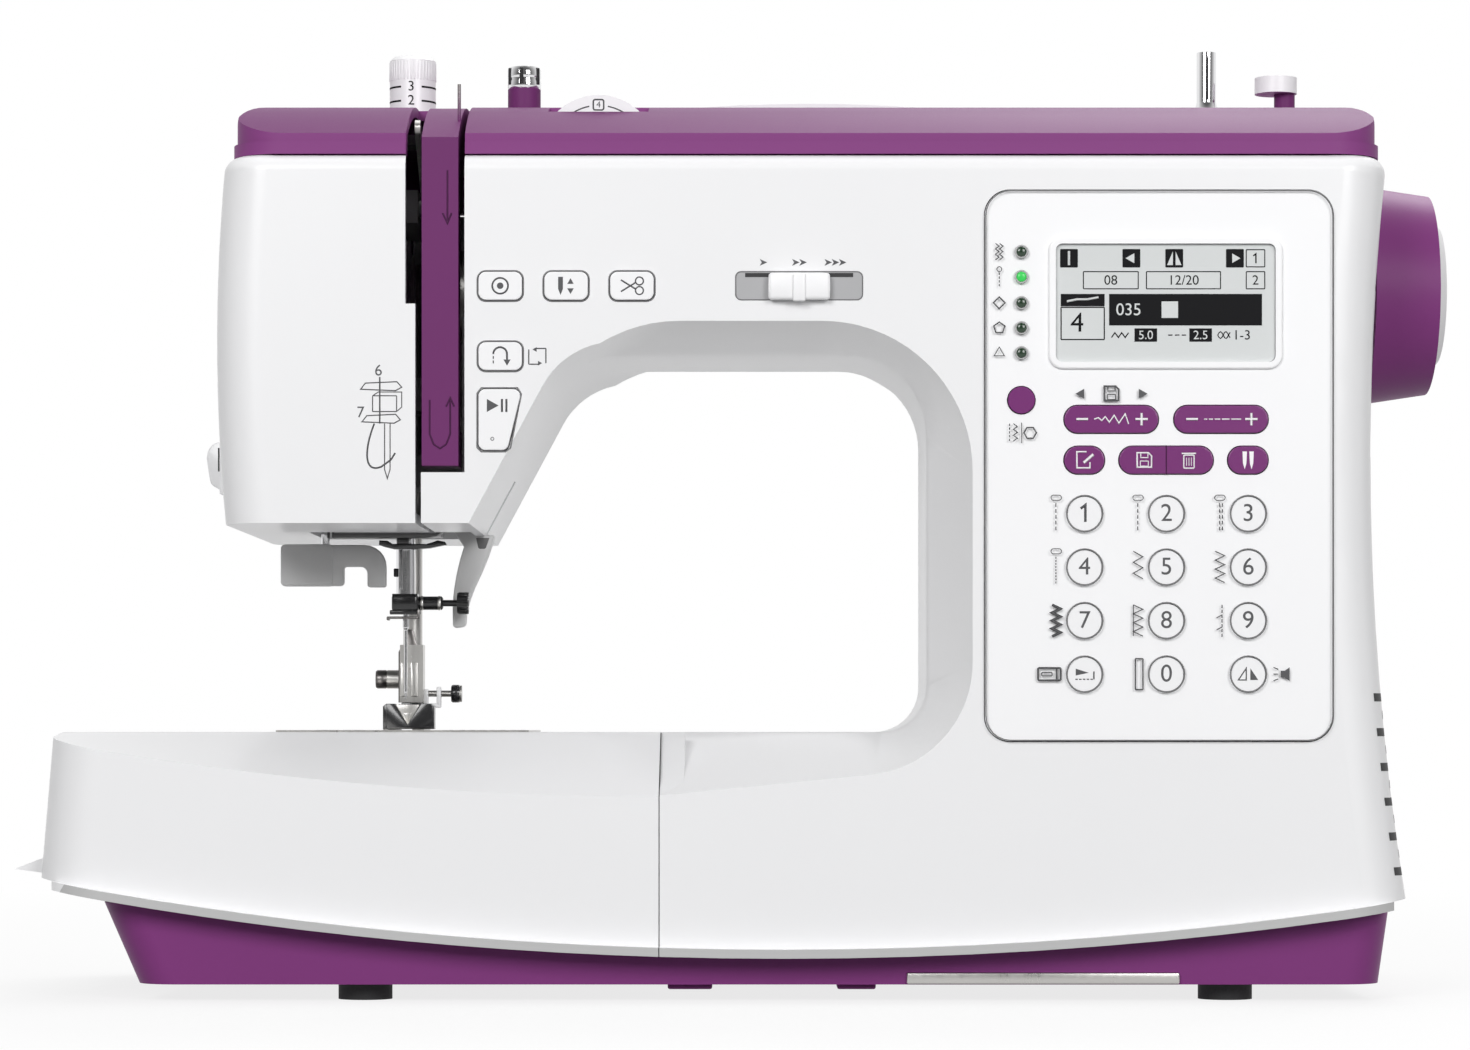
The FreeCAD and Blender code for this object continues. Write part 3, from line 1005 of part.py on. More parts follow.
lid_well = box("LidWell", ("lid_left + wall / 2", "lid_right - wall / 2"), ("lid_front + wall / 2",
                                                                            "lid_back - wall / 2"),
               ("bed_top - wall", "bed_top + wall"))
plate_slab = box("PlateSlab", ("plate_left", "plate_right"), ("-plate_half", "plate_half"), plate_z)
node(cut("NeedlePlate", plate_slab, needle_hole, lid_seat, lid_well, *feed_slots), "needle_plate")
node(box("BobbinCover", *LID, (f"{PLATE_TOP} - lid_thick", PLATE_TOP)), "bobbin_cover")
feed_bars = [box(f"FeedBar{i}", x, ("feed_front", "feed_back"), (f"{PLATE_TOP} - feed_depth",
                                                                 f"{PLATE_TOP} + fit_gap"))
             for i, x in enumerate(feed_x)]
feed_yoke = box("FeedYoke", (feed_x[0][0], feed_x[1][1]), ("feed_back - feed_depth", "feed_back"),
                (f"{PLATE_TOP} - feed_depth", f"{PLATE_TOP} - plate_thick - feed_gap"))
node(fuse("FeedDog", feed_yoke, *feed_bars), "feed_dog")

# Needle bar with its clamp, and the needle
clamp_z = ("needle_bar_foot - clamp_height", "needle_bar_foot + fit_gap")
needle_bar = fuse("NeedleBarForm",
                  rod("NeedleBarRod", "z", "needle_bar_radius", "needle_bar_top - needle_bar_foot",
                      "needle_x", "0",
                      "needle_bar_foot"),
                  box("Clamp", ("needle_x - clamp_half", "needle_x + clamp_half"), ("-clamp_half",
                                                                                    "clamp_half"), clamp_z),
                  rod("ClampScrew", "x", "needle_shank", "clamp_screw", "needle_x + clamp_half - fit_gap",
                      "0",
                      "needle_bar_foot - clamp_height / 2"),
                  rod("ClampHead", "x", "clamp_head_radius", "clamp_head", "needle_x + clamp_screw", "0",
                      "needle_bar_foot - clamp_height / 2"))
node(cut("NeedleBar", needle_bar, rod("NeedleSocket", "z", "needle_shank + run_gap", "clamp_height * 2",
                                      "needle_x", "0",
                                      "needle_bar_foot - clamp_height")), "needle_bar")
shank_low = "needle_bar_foot - clamp_height - needle_tip - clamp_height"
node(revolve("Needle", "XZ_Plane", [
    ("0", "0"), ("needle_blade", "needle_shank * 3"), ("needle_blade", f"{shank_low} - needle_shank"),
    ("needle_shank", shank_low), ("needle_shank", f"{shank_low} + clamp_height * 2.6"),
    ("0", f"{shank_low} + clamp_height * 2.6")], at=("needle_x", "0", "needle_tip")), "needle")

# Presser bar with its foot holder, the foot and the lifter
SOLE = f"{PLATE_TOP} + fit_gap"
ankle_y = ("presser_y - presser_radius * 2", "presser_y + presser_radius + fit_gap")
node(fuse("PresserBar",
          rod("PresserRod", "z", "presser_radius", "presser_top - ankle_top + wall", "presser_x",
              "presser_y",
              "ankle_top - wall"),
          box("Ankle", ("presser_x - ankle_half", "presser_x + ankle_half"), ankle_y, ("ankle_bottom",
                                                                                       "ankle_top")),
          rod("FootScrew", "x", "clamp_head_radius - fit_gap", "foot_screw_reach - ankle_half",
              "presser_x - foot_screw_reach", "presser_y", "foot_screw_z"),
          rod("FootRod", "x", "needle_shank", "foot_rod_reach", "presser_x", "presser_y", "foot_rod_z"),
          rod("FootRodKnob", "x", "clamp_head_radius - fit_gap * 2", "clamp_head * 0.75",
              "presser_x + foot_rod_reach - clamp_head * 0.75", "presser_y", "foot_rod_z")), "presser_bar")
sole = cut("SoleSlotted",
           box("Sole", ("needle_x - foot_half_width", "needle_x + foot_half_width"), ("foot_front",
                                                                                      "foot_back"),
               (SOLE, f"{SOLE} + sole_thick")),
           box("SoleSlot", ("needle_x - sole_slot / 2", "needle_x + sole_slot / 2"),
               ("foot_front - wall", "presser_y - presser_radius * 3"), ("bed_top", "ankle_bottom")))
node(fuse("PresserFoot", sole,
          box("FootStub", ("presser_x - ankle_half + fit_gap", "presser_x + ankle_half - fit_gap"), ankle_y,
              (f"{SOLE} + sole_thick - fit_gap", "ankle_bottom"))), "presser_foot")
pivot_x, pivot_z, lever_wide = size("lifter_x"), size("lifter_z"), size("lifter_width")
tip_x, tip_z = pivot_x - size("lifter_lean"), pivot_z - size("lifter_length")
lever_y, lever_thick = size("lifter_y"), size("lifter_thick")
lever = Part.Face(rounded([(Vector(x, lever_y, z), r) for x, z, r in (
    (pivot_x - lever_wide / 2, pivot_z + lever_wide / 2, 2), (pivot_x + lever_wide / 2,
                                                              pivot_z + lever_wide / 2, 2),
    (pivot_x + lever_wide / 2, pivot_z - lever_wide, lever_wide), (tip_x + lever_wide / 2,
                                                                   tip_z + 2 * lever_wide, 3),
    (tip_x + lever_wide / 2, tip_z, 1), (tip_x - lever_wide / 4, tip_z, 1),
    (tip_x - lever_wide / 4, tip_z + 2 * lever_wide, lever_wide), (pivot_x - lever_wide / 2,
                                                                   pivot_z - lever_wide / 2, 3))]))
lever_pin = Part.makeCylinder(size("lifter_pin"), size("beam_front") - lever_y - FIT, Vector(pivot_x,
                                                                                             lever_y,
                                                                                             pivot_z),
                              Vector(0, 1, 0))
node(solid("PresserLifter", lever.extrude(Vector(0, lever_thick, 0)).fuse(lever_pin)), "presser_lifter")

# Needle threader: rod, thumb block and hooked arm
thread_y = ("threader_y - threader_thick / 2", "threader_y + threader_thick / 2")
block_top = "threader_z + threader_block"
node(fuse("NeedleThreader",
          rod("ThreaderRod", "z", "threader_rod", f"threader_top - {block_top} + wall", "threader_x",
              "threader_y",
              f"{block_top} - wall"),
          prism("ThreaderBlock", "XZ_Plane", rectangle("threader_x - threader_left",
                                                       "threader_x + threader_right",
                "threader_z", block_top), "threader_thick", "wall * 0.8", "",
                ("0", "threader_y + threader_thick / 2", "0")),
          box("ThreaderArm", ("threader_x + threader_right - wall", "threader_x + threader_hook"), thread_y,
              (f"{block_top} - threader_block / 2", f"{block_top} - fit_gap")),
          box("ThreaderHook", ("threader_x + threader_hook - threader_thick", "threader_x + threader_hook"),
              thread_y,
              ("threader_z - fit_gap", f"{block_top} - fit_gap"))), "needle_threader")

# Take-up lever: hub on the frame's pin, arm and eye
hub = Vector(size("slot_left") - size("slot_wide") / 4 - size("take_up_thick") / 2, size("take_up_y"),
             size("take_up_z"))
eye = hub + Vector(0, -size("take_up_forward"), size("take_up_rise"))
across = (eye - hub).cross(Vector(1, 0, 0)).normalize() * (size("take_up_width") / 2)
thick = Vector(size("take_up_thick"), 0, 0)
arm = Part.Face(Part.makePolygon([hub + across, eye + across, eye - across, hub - across,
                                  hub + across])).extrude(thick)
ends = [Part.makeCylinder(radius, size("take_up_thick"), centre, Vector(1, 0, 0))
        for centre, radius in ((hub, size("take_up_pin") + WALL), (eye, size("take_up_width") / 2))]
holes = [Part.makeCylinder(radius, size("take_up_thick"), centre, Vector(1, 0, 0))
         for centre, radius in ((hub, size("take_up_pin") + size("run_gap")), (eye, size("eye_radius")))]
node(solid("TakeUpLever", arm.multiFuse(ends).cut(holes).removeSplitter()), "take_up_lever")

doc.recompute()
broken = [o.Name for o in doc.Objects if {"Invalid", "Error"} & set(o.State)]
if broken:
    raise RuntimeError("objects that failed: " + ", ".join(broken))
for piece in NODES:
    if piece.Shape.isNull() or not piece.Shape.isValid() or not piece.Shape.Solids:
        raise RuntimeError("no valid solid: " + piece.Label)
os.makedirs("parts", exist_ok=True)
for piece in NODES:
    piece.Shape.exportStep(f"parts/{piece.Label}.step")
    print(piece.Label, len(piece.Shape.Solids), round(piece.Shape.Volume, 1))
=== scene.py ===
"""Looks of the sewing machine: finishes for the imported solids, printed marks, trims and small metal parts."""

import math

import bmesh
import bpy
from mathutils import Matrix, Vector, geometry
from mathutils.bvhtree import BVHTree


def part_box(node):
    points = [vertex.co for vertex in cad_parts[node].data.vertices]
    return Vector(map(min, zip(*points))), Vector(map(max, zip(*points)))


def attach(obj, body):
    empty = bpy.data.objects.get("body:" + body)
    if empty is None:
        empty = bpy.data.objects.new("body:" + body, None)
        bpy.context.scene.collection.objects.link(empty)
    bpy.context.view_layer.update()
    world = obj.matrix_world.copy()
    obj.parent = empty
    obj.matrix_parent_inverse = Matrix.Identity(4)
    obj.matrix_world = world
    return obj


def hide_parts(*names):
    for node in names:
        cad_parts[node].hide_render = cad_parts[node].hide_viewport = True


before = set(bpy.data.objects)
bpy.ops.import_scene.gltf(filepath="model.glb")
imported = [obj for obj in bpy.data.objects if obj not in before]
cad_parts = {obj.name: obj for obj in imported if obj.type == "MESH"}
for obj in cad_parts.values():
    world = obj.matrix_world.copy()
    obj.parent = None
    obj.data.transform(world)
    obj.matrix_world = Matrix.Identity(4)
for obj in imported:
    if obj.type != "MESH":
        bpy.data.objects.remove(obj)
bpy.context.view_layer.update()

bl_info = {
    "name": "Sewing Machine Looks",
    "version": (1, 0, 0),
    "blender": (4, 5, 0),
    "location": "View3D > Sidebar > Sewing Machine",
    "description": "Finishes, printed marks and trims of a computerised sewing machine",
    "category": "Object",
}

# Metres, like the planes of marks, the stage and the properties; other lengths are in millimetres.
MM = 0.001
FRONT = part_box("control_panel")[0].y
INK_LIFT = 0.00004
VENT_LIFT = 0.00006
BUMP_DEPTH = 0.0004

# Angles in degrees that part soft from sharp edges, on the solids and on the added pieces.
SOLID_CREASE = 30
CREASE = 40
ROUND_CREASE = 60

# Places that marks and pieces are measured from.
LAMP_X = 79.5
LAMP_ROWS = (219.0, 211.7, 204.1, 196.8, 189.5)
DISPLAY_CORNER = (90.8, 220.2)
SPEED_Z = 209.2
THREADING_X = -107.6
NEEDLE_X = -106
CLAMP_Z = 118.9
FOOT_X = -104.5
POST = (-68.3, -20, 275)
POST_RADIUS = 5.15
WINDER = (142, 0)

PURPLE_KEYS = ("mode_key", "width_key", "length_key", "edit_key", "memory_key", "twin_needle_key")
TOUCH_KEYS = ("lock_stitch_key", "needle_position_key", "thread_cut_key", "reverse_key", "start_stop_key")
ROUND_KEYS = tuple(f"number_key_{i}" for i in range(10)) + ("pattern_key", "mirror_key")
ICON_KEYS = ROUND_KEYS[10:] + TOUCH_KEYS + PURPLE_KEYS[1:]


def colour_prop(name, description, value):
    return bpy.props.FloatVectorProperty(name=name, description=description, subtype="COLOR", size=4,
                                         min=0, max=1, default=(*value, 1))


def number_prop(name, description, value, unit="NONE"):
    return bpy.props.FloatProperty(name=name, description=description, unit=unit, default=value, precision=5)


class MachineLooks(bpy.types.PropertyGroup):
    """Colours and small sizes of the machine's finish."""
    white: colour_prop("Casing white", "Moulded casing, table and keys", (0.83, 0.83, 0.84))
    purple: colour_prop("Cover purple", "Top cover and thread panel", (0.152, 0.028, 0.138))
    # Lighter copy of the cover purple: painted light on the cover's front band.
    band_purple: colour_prop("Band purple", "Front band of the top cover", (0.232, 0.054, 0.214))
    # Lighter than the cover purple: painted light that makes up for the shade under the casing's lip; the
    # handwheel shares it.
    base_purple: colour_prop("Base purple", "Base tray and handwheel", (0.218, 0.041, 0.200))
    key_purple: colour_prop("Key purple", "Coloured keys of the panel", (0.165, 0.012, 0.150))
    ink: colour_prop("Ink", "Printed icons and numbers", (0.105, 0.105, 0.11))
    # Grey painted shade of the white band at the casing's foot; the lamp rings share this grey as their own
    # colour.
    lip: colour_prop("Lip grey", "Band along the casing's foot", (0.50, 0.50, 0.50))
    line: number_prop("Line width", "Width of a printed line", 0.00033, "LENGTH")
    outline: number_prop("Outline width", "Width of a key's printed outline", 0.00045, "LENGTH")
    digit: number_prop("Digit height", "Size of the numbers on the keys", 0.0072, "LENGTH")
    knob_ribs: bpy.props.IntProperty(name="Knob ribs", description="Ribs round the pressure knob", default=44)
    dial_ribs: bpy.props.IntProperty(name="Dial ribs", description="Ribs round the tension dial", default=60)


class StudioLooks(bpy.types.PropertyGroup):
    """Camera and light."""
    eye: bpy.props.FloatVectorProperty(name="Camera", description="Place of the camera", subtype="XYZ",
                                       default=(-0.004, -1.365, 0.0796))
    lens: number_prop("Lens", "Focal length in millimetres", 107.9)
    rise: number_prop("Shift", "Upward shift of the frame", 0.1395)
    ambient: number_prop("Ambient", "Strength of the surrounding light", 0.28)
    key_power: number_prop("Key light", "Power of the front light", 20.5, "POWER")
    top_power: number_prop("Top light", "Power of the top light", 6, "POWER")


def add_node(tree, kind, values=(), **settings):
    """A new shader node with its settings and the values of its input sockets."""
    node = tree.nodes.new(f"ShaderNode{kind}")
    for name, setting in settings.items():
        setattr(node, name, setting)
    for socket, value in dict(values).items():
        node.inputs[socket].default_value = value
    return node


def wire(tree, *links):
    """Links nodes: from a node's output to another node's input, each named or numbered."""
    for start, out, end, into in links:
        tree.links.new(start.outputs[out], end.inputs[into])


SURFACE = "Worked Surface"
SURFACE_SOCKETS = {
    "INPUT": (("Colour", "Color"), ("Shade", "Float"), ("Grain Scale", "Float"), ("Roughness", "Float"),
              ("Spread", "Float"), ("Stretch", "Float")),
    "OUTPUT": (("Colour", "Color"), ("Roughness", "Float"), ("Height", "Float")),
}


def surface_group():
    """Fine grain, slow shade and uneven gloss; Stretch draws the grain out along Z, as on brushed metal."""
    tree = bpy.data.node_groups.get(SURFACE)
    if tree:
        return tree
    tree = bpy.data.node_groups.new(SURFACE, "ShaderNodeTree")
    for side, sockets in SURFACE_SOCKETS.items():
        for label, kind in sockets:
            tree.interface.new_socket(label, in_out=side, socket_type=f"NodeSocket{kind}")
    start, end = tree.nodes.new("NodeGroupInput"), tree.nodes.new("NodeGroupOutput")
    place = add_node(tree, "TexCoord")
    scale = add_node(tree, "CombineXYZ", {"X": 1, "Y": 1})
    drawn = add_node(tree, "VectorMath", operation="MULTIPLY")
    grain = add_node(tree, "TexNoise", {"Detail": 3})
    cloud = add_node(tree, "TexNoise", {"Scale": 14, "Detail": 2})
    amount = add_node(tree, "Math", operation="MULTIPLY")
    tint = add_node(tree, "Mix", {"B": (0.02, 0.02, 0.025, 1)}, data_type="RGBA")
    gloss = add_node(tree, "Math", operation="MULTIPLY_ADD")
    wire(tree, (start, "Stretch", scale, "Z"), (place, "Object", drawn, 0), (scale, 0, drawn, 1),
         (drawn, 0, grain, "Vector"), (start, "Grain Scale", grain, "Scale"),
         (place, "Object", cloud, "Vector"), (cloud, "Fac", amount, 0), (start, "Shade", amount, 1),
         (amount, 0, tint, "Factor"), (start, "Colour", tint, "A"), (tint, "Result", end, "Colour"),
         (grain, "Fac", gloss, 0), (start, "Spread", gloss, 1), (start, "Roughness", gloss, 2),
         (gloss, 0, end, "Roughness"), (grain, "Fac", end, "Height"))
    return tree


def finish(name, colour, roughness, shade, grain=2200, spread=0.12, depth=0.03, stretch=1, metal=0.0,
           coat=0.0, glow=0.0, clear=0.0, shine=0.5):
    """A material whose colour, gloss and bump come from the shared surface group."""
    label = f"{name}_finish"
    made = bpy.data.materials.get(label)
    if made:
        return made
    made = bpy.data.materials.new(label)
    made.use_nodes = True
    tree = made.node_tree
    shader = tree.nodes["Principled BSDF"]
    surface = add_node(tree, "Group", node_tree=surface_group())
    worked = ((*colour[:3], 1), shade, grain, roughness - spread / 2, spread, stretch)
    for socket, value in zip(surface.inputs, worked):
        socket.default_value = value
    bump = add_node(tree, "Bump", {"Strength": depth, "Distance": BUMP_DEPTH})
    plain = {"Metallic": metal, "Coat Weight": coat, "Coat Roughness": 0.12, "Specular IOR Level": shine,
             "Transmission Weight": clear, "Emission Strength": glow}
    for socket, value in plain.items():
        shader.inputs[socket].default_value = value
    wire(tree, (surface, "Colour", shader, "Base Color"), (surface, "Roughness", shader, "Roughness"),
         (surface, "Height", bump, "Height"), (bump, "Normal", shader, "Normal"))
    if glow:
        wire(tree, (surface, "Colour", shader, "Emission Color"))
    return made


def materials():
    """Every finish by name: colour, roughness, shade and what differs from the plain surface."""
    looks = bpy.context.scene.machine_looks
    white = looks.white[:3]
    brushed = {"grain": 500, "spread": 0.16, "depth": 0.06, "metal": 1.0}
    made = {}

    def add(name, *values, **more):
        made[name] = finish(name, *values, **more)

    add("white_casing", white, 0.34, 0.02, coat=0.15)
    # The casing white made lighter: painted light that makes up for the upright panel catching less light than
    # the tilted casing.
    add("painted_light_panel_white", [c * 1.07 for c in white], 0.42, 0.02)
    add("key_white", [c * 1.03 for c in white], 0.38, 0.02)
    # Painted shade on the white band at the casing's foot, also the own grey of the lamp rings.
    add("lip_shade_and_ring_grey", looks.lip, 0.4, 0.06)
    add("cover_purple", looks.purple, 0.5, 0.1, shine=0.15)
    # Lighter than the cover purple: painted light that offsets the shade under the casing's lip.
    add("base_purple", looks.base_purple, 0.46, 0.12, shine=0.2)
    add("key_purple", looks.key_purple, 0.3, 0.08, coat=0.2)
    # Lighter copy of the cover purple, painted light on the faces of the cover's front band.
    add("band_purple", looks.band_purple, 0.5, 0.1, shine=0.15)
    # Darker purple: print for the thread path arrows, painted shade for the memory key's groove.
    add("path_print_and_groove_shade", [c * 0.45 for c in looks.purple[:3]], 0.5, 0.1, shine=0.15)
    add("ink", looks.ink, 0.6, 0.1, 900, shine=0.15)
    add("outline_ink", (0.2, 0.2, 0.205), 0.55, 0.1, 900)
    add("key_ink", (0.88, 0.86, 0.88), 0.5, 0.05, 900)
    # Black of slits, slots, vent openings and the seam's gap: painted shade that stands in for the dark inside
    # of openings.
    add("painted_gap_shade", (0.008, 0.008, 0.009), 0.55, 0.1)
    add("black_metal", (0.012, 0.012, 0.013), 0.22, 0.1, 1500, coat=0.3)
    add("black_rubber", (0.014, 0.014, 0.015), 0.7, 0.2, 1100, depth=0.12)
    # A lighter grey than the parts' own: painted light that makes up for the shade the head casts on the
    # threader and the lifter.
    add("grey_plastic", (0.66, 0.66, 0.66), 0.4, 0.08)
    add("plate_grey", (0.13, 0.13, 0.13), 0.45, 0.1)
    add("slot_grey", (0.4, 0.4, 0.41), 0.5, 0.08)
    add("steel", (0.56, 0.55, 0.53), 0.3, 0.12, stretch=0.08, **brushed)
    add("dark_steel", (0.2, 0.19, 0.185), 0.32, 0.15, stretch=0.1, **brushed)
    add("chrome", (0.8, 0.8, 0.81), 0.1, 0.03, 700, spread=0.06, depth=0.01, stretch=0.2, metal=1.0)
    add("cast_frame", (0.42, 0.42, 0.43), 0.55, 0.2, 420, depth=0.25, metal=0.8)
    add("motor_paint", (0.03, 0.03, 0.035), 0.45, 0.1)
    add("board", (0.02, 0.13, 0.05), 0.45, 0.2, 260)
    add("display", (0.66, 0.68, 0.68), 0.25, 0.04, 1800, coat=0.5)
    add("display_ink", (0.006, 0.006, 0.007), 0.6, 0.1, shine=0.1)
    add("lamp_green", (0.02, 0.42, 0.06), 0.3, 0.05, glow=0.5)
    add("lamp_off", (0.004, 0.03, 0.008), 0.22, 0.1, coat=0.4)
    add("clear_cover", (0.93, 0.94, 0.95), 0.12, 0.02, spread=0.06, depth=0.01, clear=0.85)
    add("belt", (0.015, 0.015, 0.015), 0.8, 0.2, 1300, depth=0.2)
    return made


NODE_FINISH = {
    "white_casing": ("front_housing", "rear_housing", "face_cover", "extension_table", "carry_handle",
                     "pressure_knob", "tension_dial", "speed_slider"),
    "painted_light_panel_white": ("control_panel",),
    "key_white": ROUND_KEYS + TOUCH_KEYS,
    "key_purple": PURPLE_KEYS,
    "cover_purple": ("top_cover", "thread_panel"),
    "base_purple": ("base_tray", "handwheel"),
    "black_rubber": ("rubber_feet",),
    "black_metal": ("presser_foot", "power_switch"),
    "grey_plastic": ("needle_threader", "presser_lifter"),
    "steel": ("needle_plate", "feed_dog", "rotary_hook", "presser_bar", "lower_shaft", "upper_shaft",
              "take_up_lever", "housing_screws", "motor_pulley"),
    "chrome": ("needle_bar", "needle", "winder_spindle"),
    "cast_frame": ("main_frame",),
    "motor_paint": ("motor",),
    "board": ("circuit_board",),
    "belt": ("drive_belts",),
    "display": ("lcd_window",),
    "clear_cover": ("bobbin_cover", "bobbin"),
}


def span(node):
    """Low and high corner of a CAD node's box, in millimetres."""
    return [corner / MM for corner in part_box(node)]


def middle(node):
    """Centre of a CAD node's box as x and z in millimetres, and its front plane's Y in metres."""
    low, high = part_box(node)
    return (low.x + high.x) / 2 / MM, (low.z + high.z) / 2 / MM, low.y


def paint(node, finish_name, test):
    """Gives the faces of a CAD node whose centre and normal pass the test another finish."""
    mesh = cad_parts[node].data
    mesh.materials.append(materials()[finish_name])
    for face in mesh.polygons:
        if test(face.center / MM, face.normal):
            face.material_index = len(mesh.materials) - 1


def on_lip(c, n):
    """Faces of the band at the casing's foot, along the front and the back and round the right end, that get
    grey painted shade.
    """
    along = abs(c.y) > 79.5 and c.z < 40 and (abs(c.y) > 80.2 or c.z < 14)
    round_end = 184 < c.x < 190.4 and c.z < 29.6
    return n.z < 0.8 and (along or round_end)


def smooth(piece):
    """Soft faces with crisp creases on the loose triangles of a CAD node."""
    for face in piece.data.polygons:
        face.use_smooth = True
    weld = piece.modifiers.new("Weld", "WELD")
    weld.merge_threshold = 1e-5
    split = piece.modifiers.new("Creases", "EDGE_SPLIT")
    split.split_angle = math.radians(SOLID_CREASE)
    piece.modifiers.new("Even normals", "WEIGHTED_NORMAL")


def paint_top_cover():
    """Front band of the cover in a lighter purple of painted light, chrome disc of the thread post, white cap
    of the winder stop.
    """
    # Low faces of the cover that do not face up get the lighter purple of painted light.
    paint("top_cover", "band_purple", lambda c, n: n.z < 0.2 and c.z < 268)
    paint("top_cover", "chrome", lambda c, n: c.z > 275.2 and -75 < c.x < -62)
    paint("top_cover", "key_white", lambda c, n: c.z > 276.3 and c.x > 150)


def paint_metal_parts():
    """Black needle clamp, light cap of the handwheel and the steel guide pin of the thread panel."""
    paint("needle_bar", "black_metal", lambda c, n: 115 < c.z < 121.6 or c.x > -101.5)
    paint("handwheel", "key_white", lambda c, n: c.x > 210)
    edge = span("thread_panel")[1].x
    paint("thread_panel", "dark_steel", lambda c, n: c.z > 263 and c.x > edge - 1.1 and abs(n.z) < 0.1
          and abs(n.x) < 0.996)


class SEWING_OT_finish_solids(bpy.types.Operator):
    """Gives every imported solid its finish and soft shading"""
    bl_idname = "sewing.finish_solids"
    bl_label = "Finish Solids"

    def execute(self, context):
        made = materials()
        for name, nodes in NODE_FINISH.items():
            for node in nodes:
                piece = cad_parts[node]
                piece.data.materials.clear()
                piece.data.materials.append(made[name])
        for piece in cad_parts.values():
            smooth(piece)
        # The white band at the casing's foot gets grey painted shade.
        for node in ("front_housing", "rear_housing", "extension_table"):
            paint(node, "lip_shade_and_ring_grey", on_lip)
        paint_top_cover()
        paint_metal_parts()
        return {"FINISHED"}


def circle(x, z, radius, start=0, sweep=360, count=28):
    """Points round a circle or arc."""
    turns = (math.radians(start + sweep * i / count) for i in range(count + (sweep < 360)))
    return [(x + radius * math.cos(turn), z + radius * math.sin(turn)) for turn in turns]


def plate(x, z, width, height, radius):
    """Points round a rectangle with rounded corners."""
    reach, rise = width / 2 - radius, height / 2 - radius
    corners = ((reach, rise, 0), (-reach, rise, 90), (-reach, -rise, 180), (reach, -rise, 270))
    return [p for dx, dz, turn in corners for p in circle(x + dx, z + dz, radius, turn, 90, 6)]


def zigzag(x, z, step, swing, count):
    """A zigzag that runs down from (x, z)."""
    return [(x + (swing if i % 2 else -swing), z - i * step) for i in range(count)]


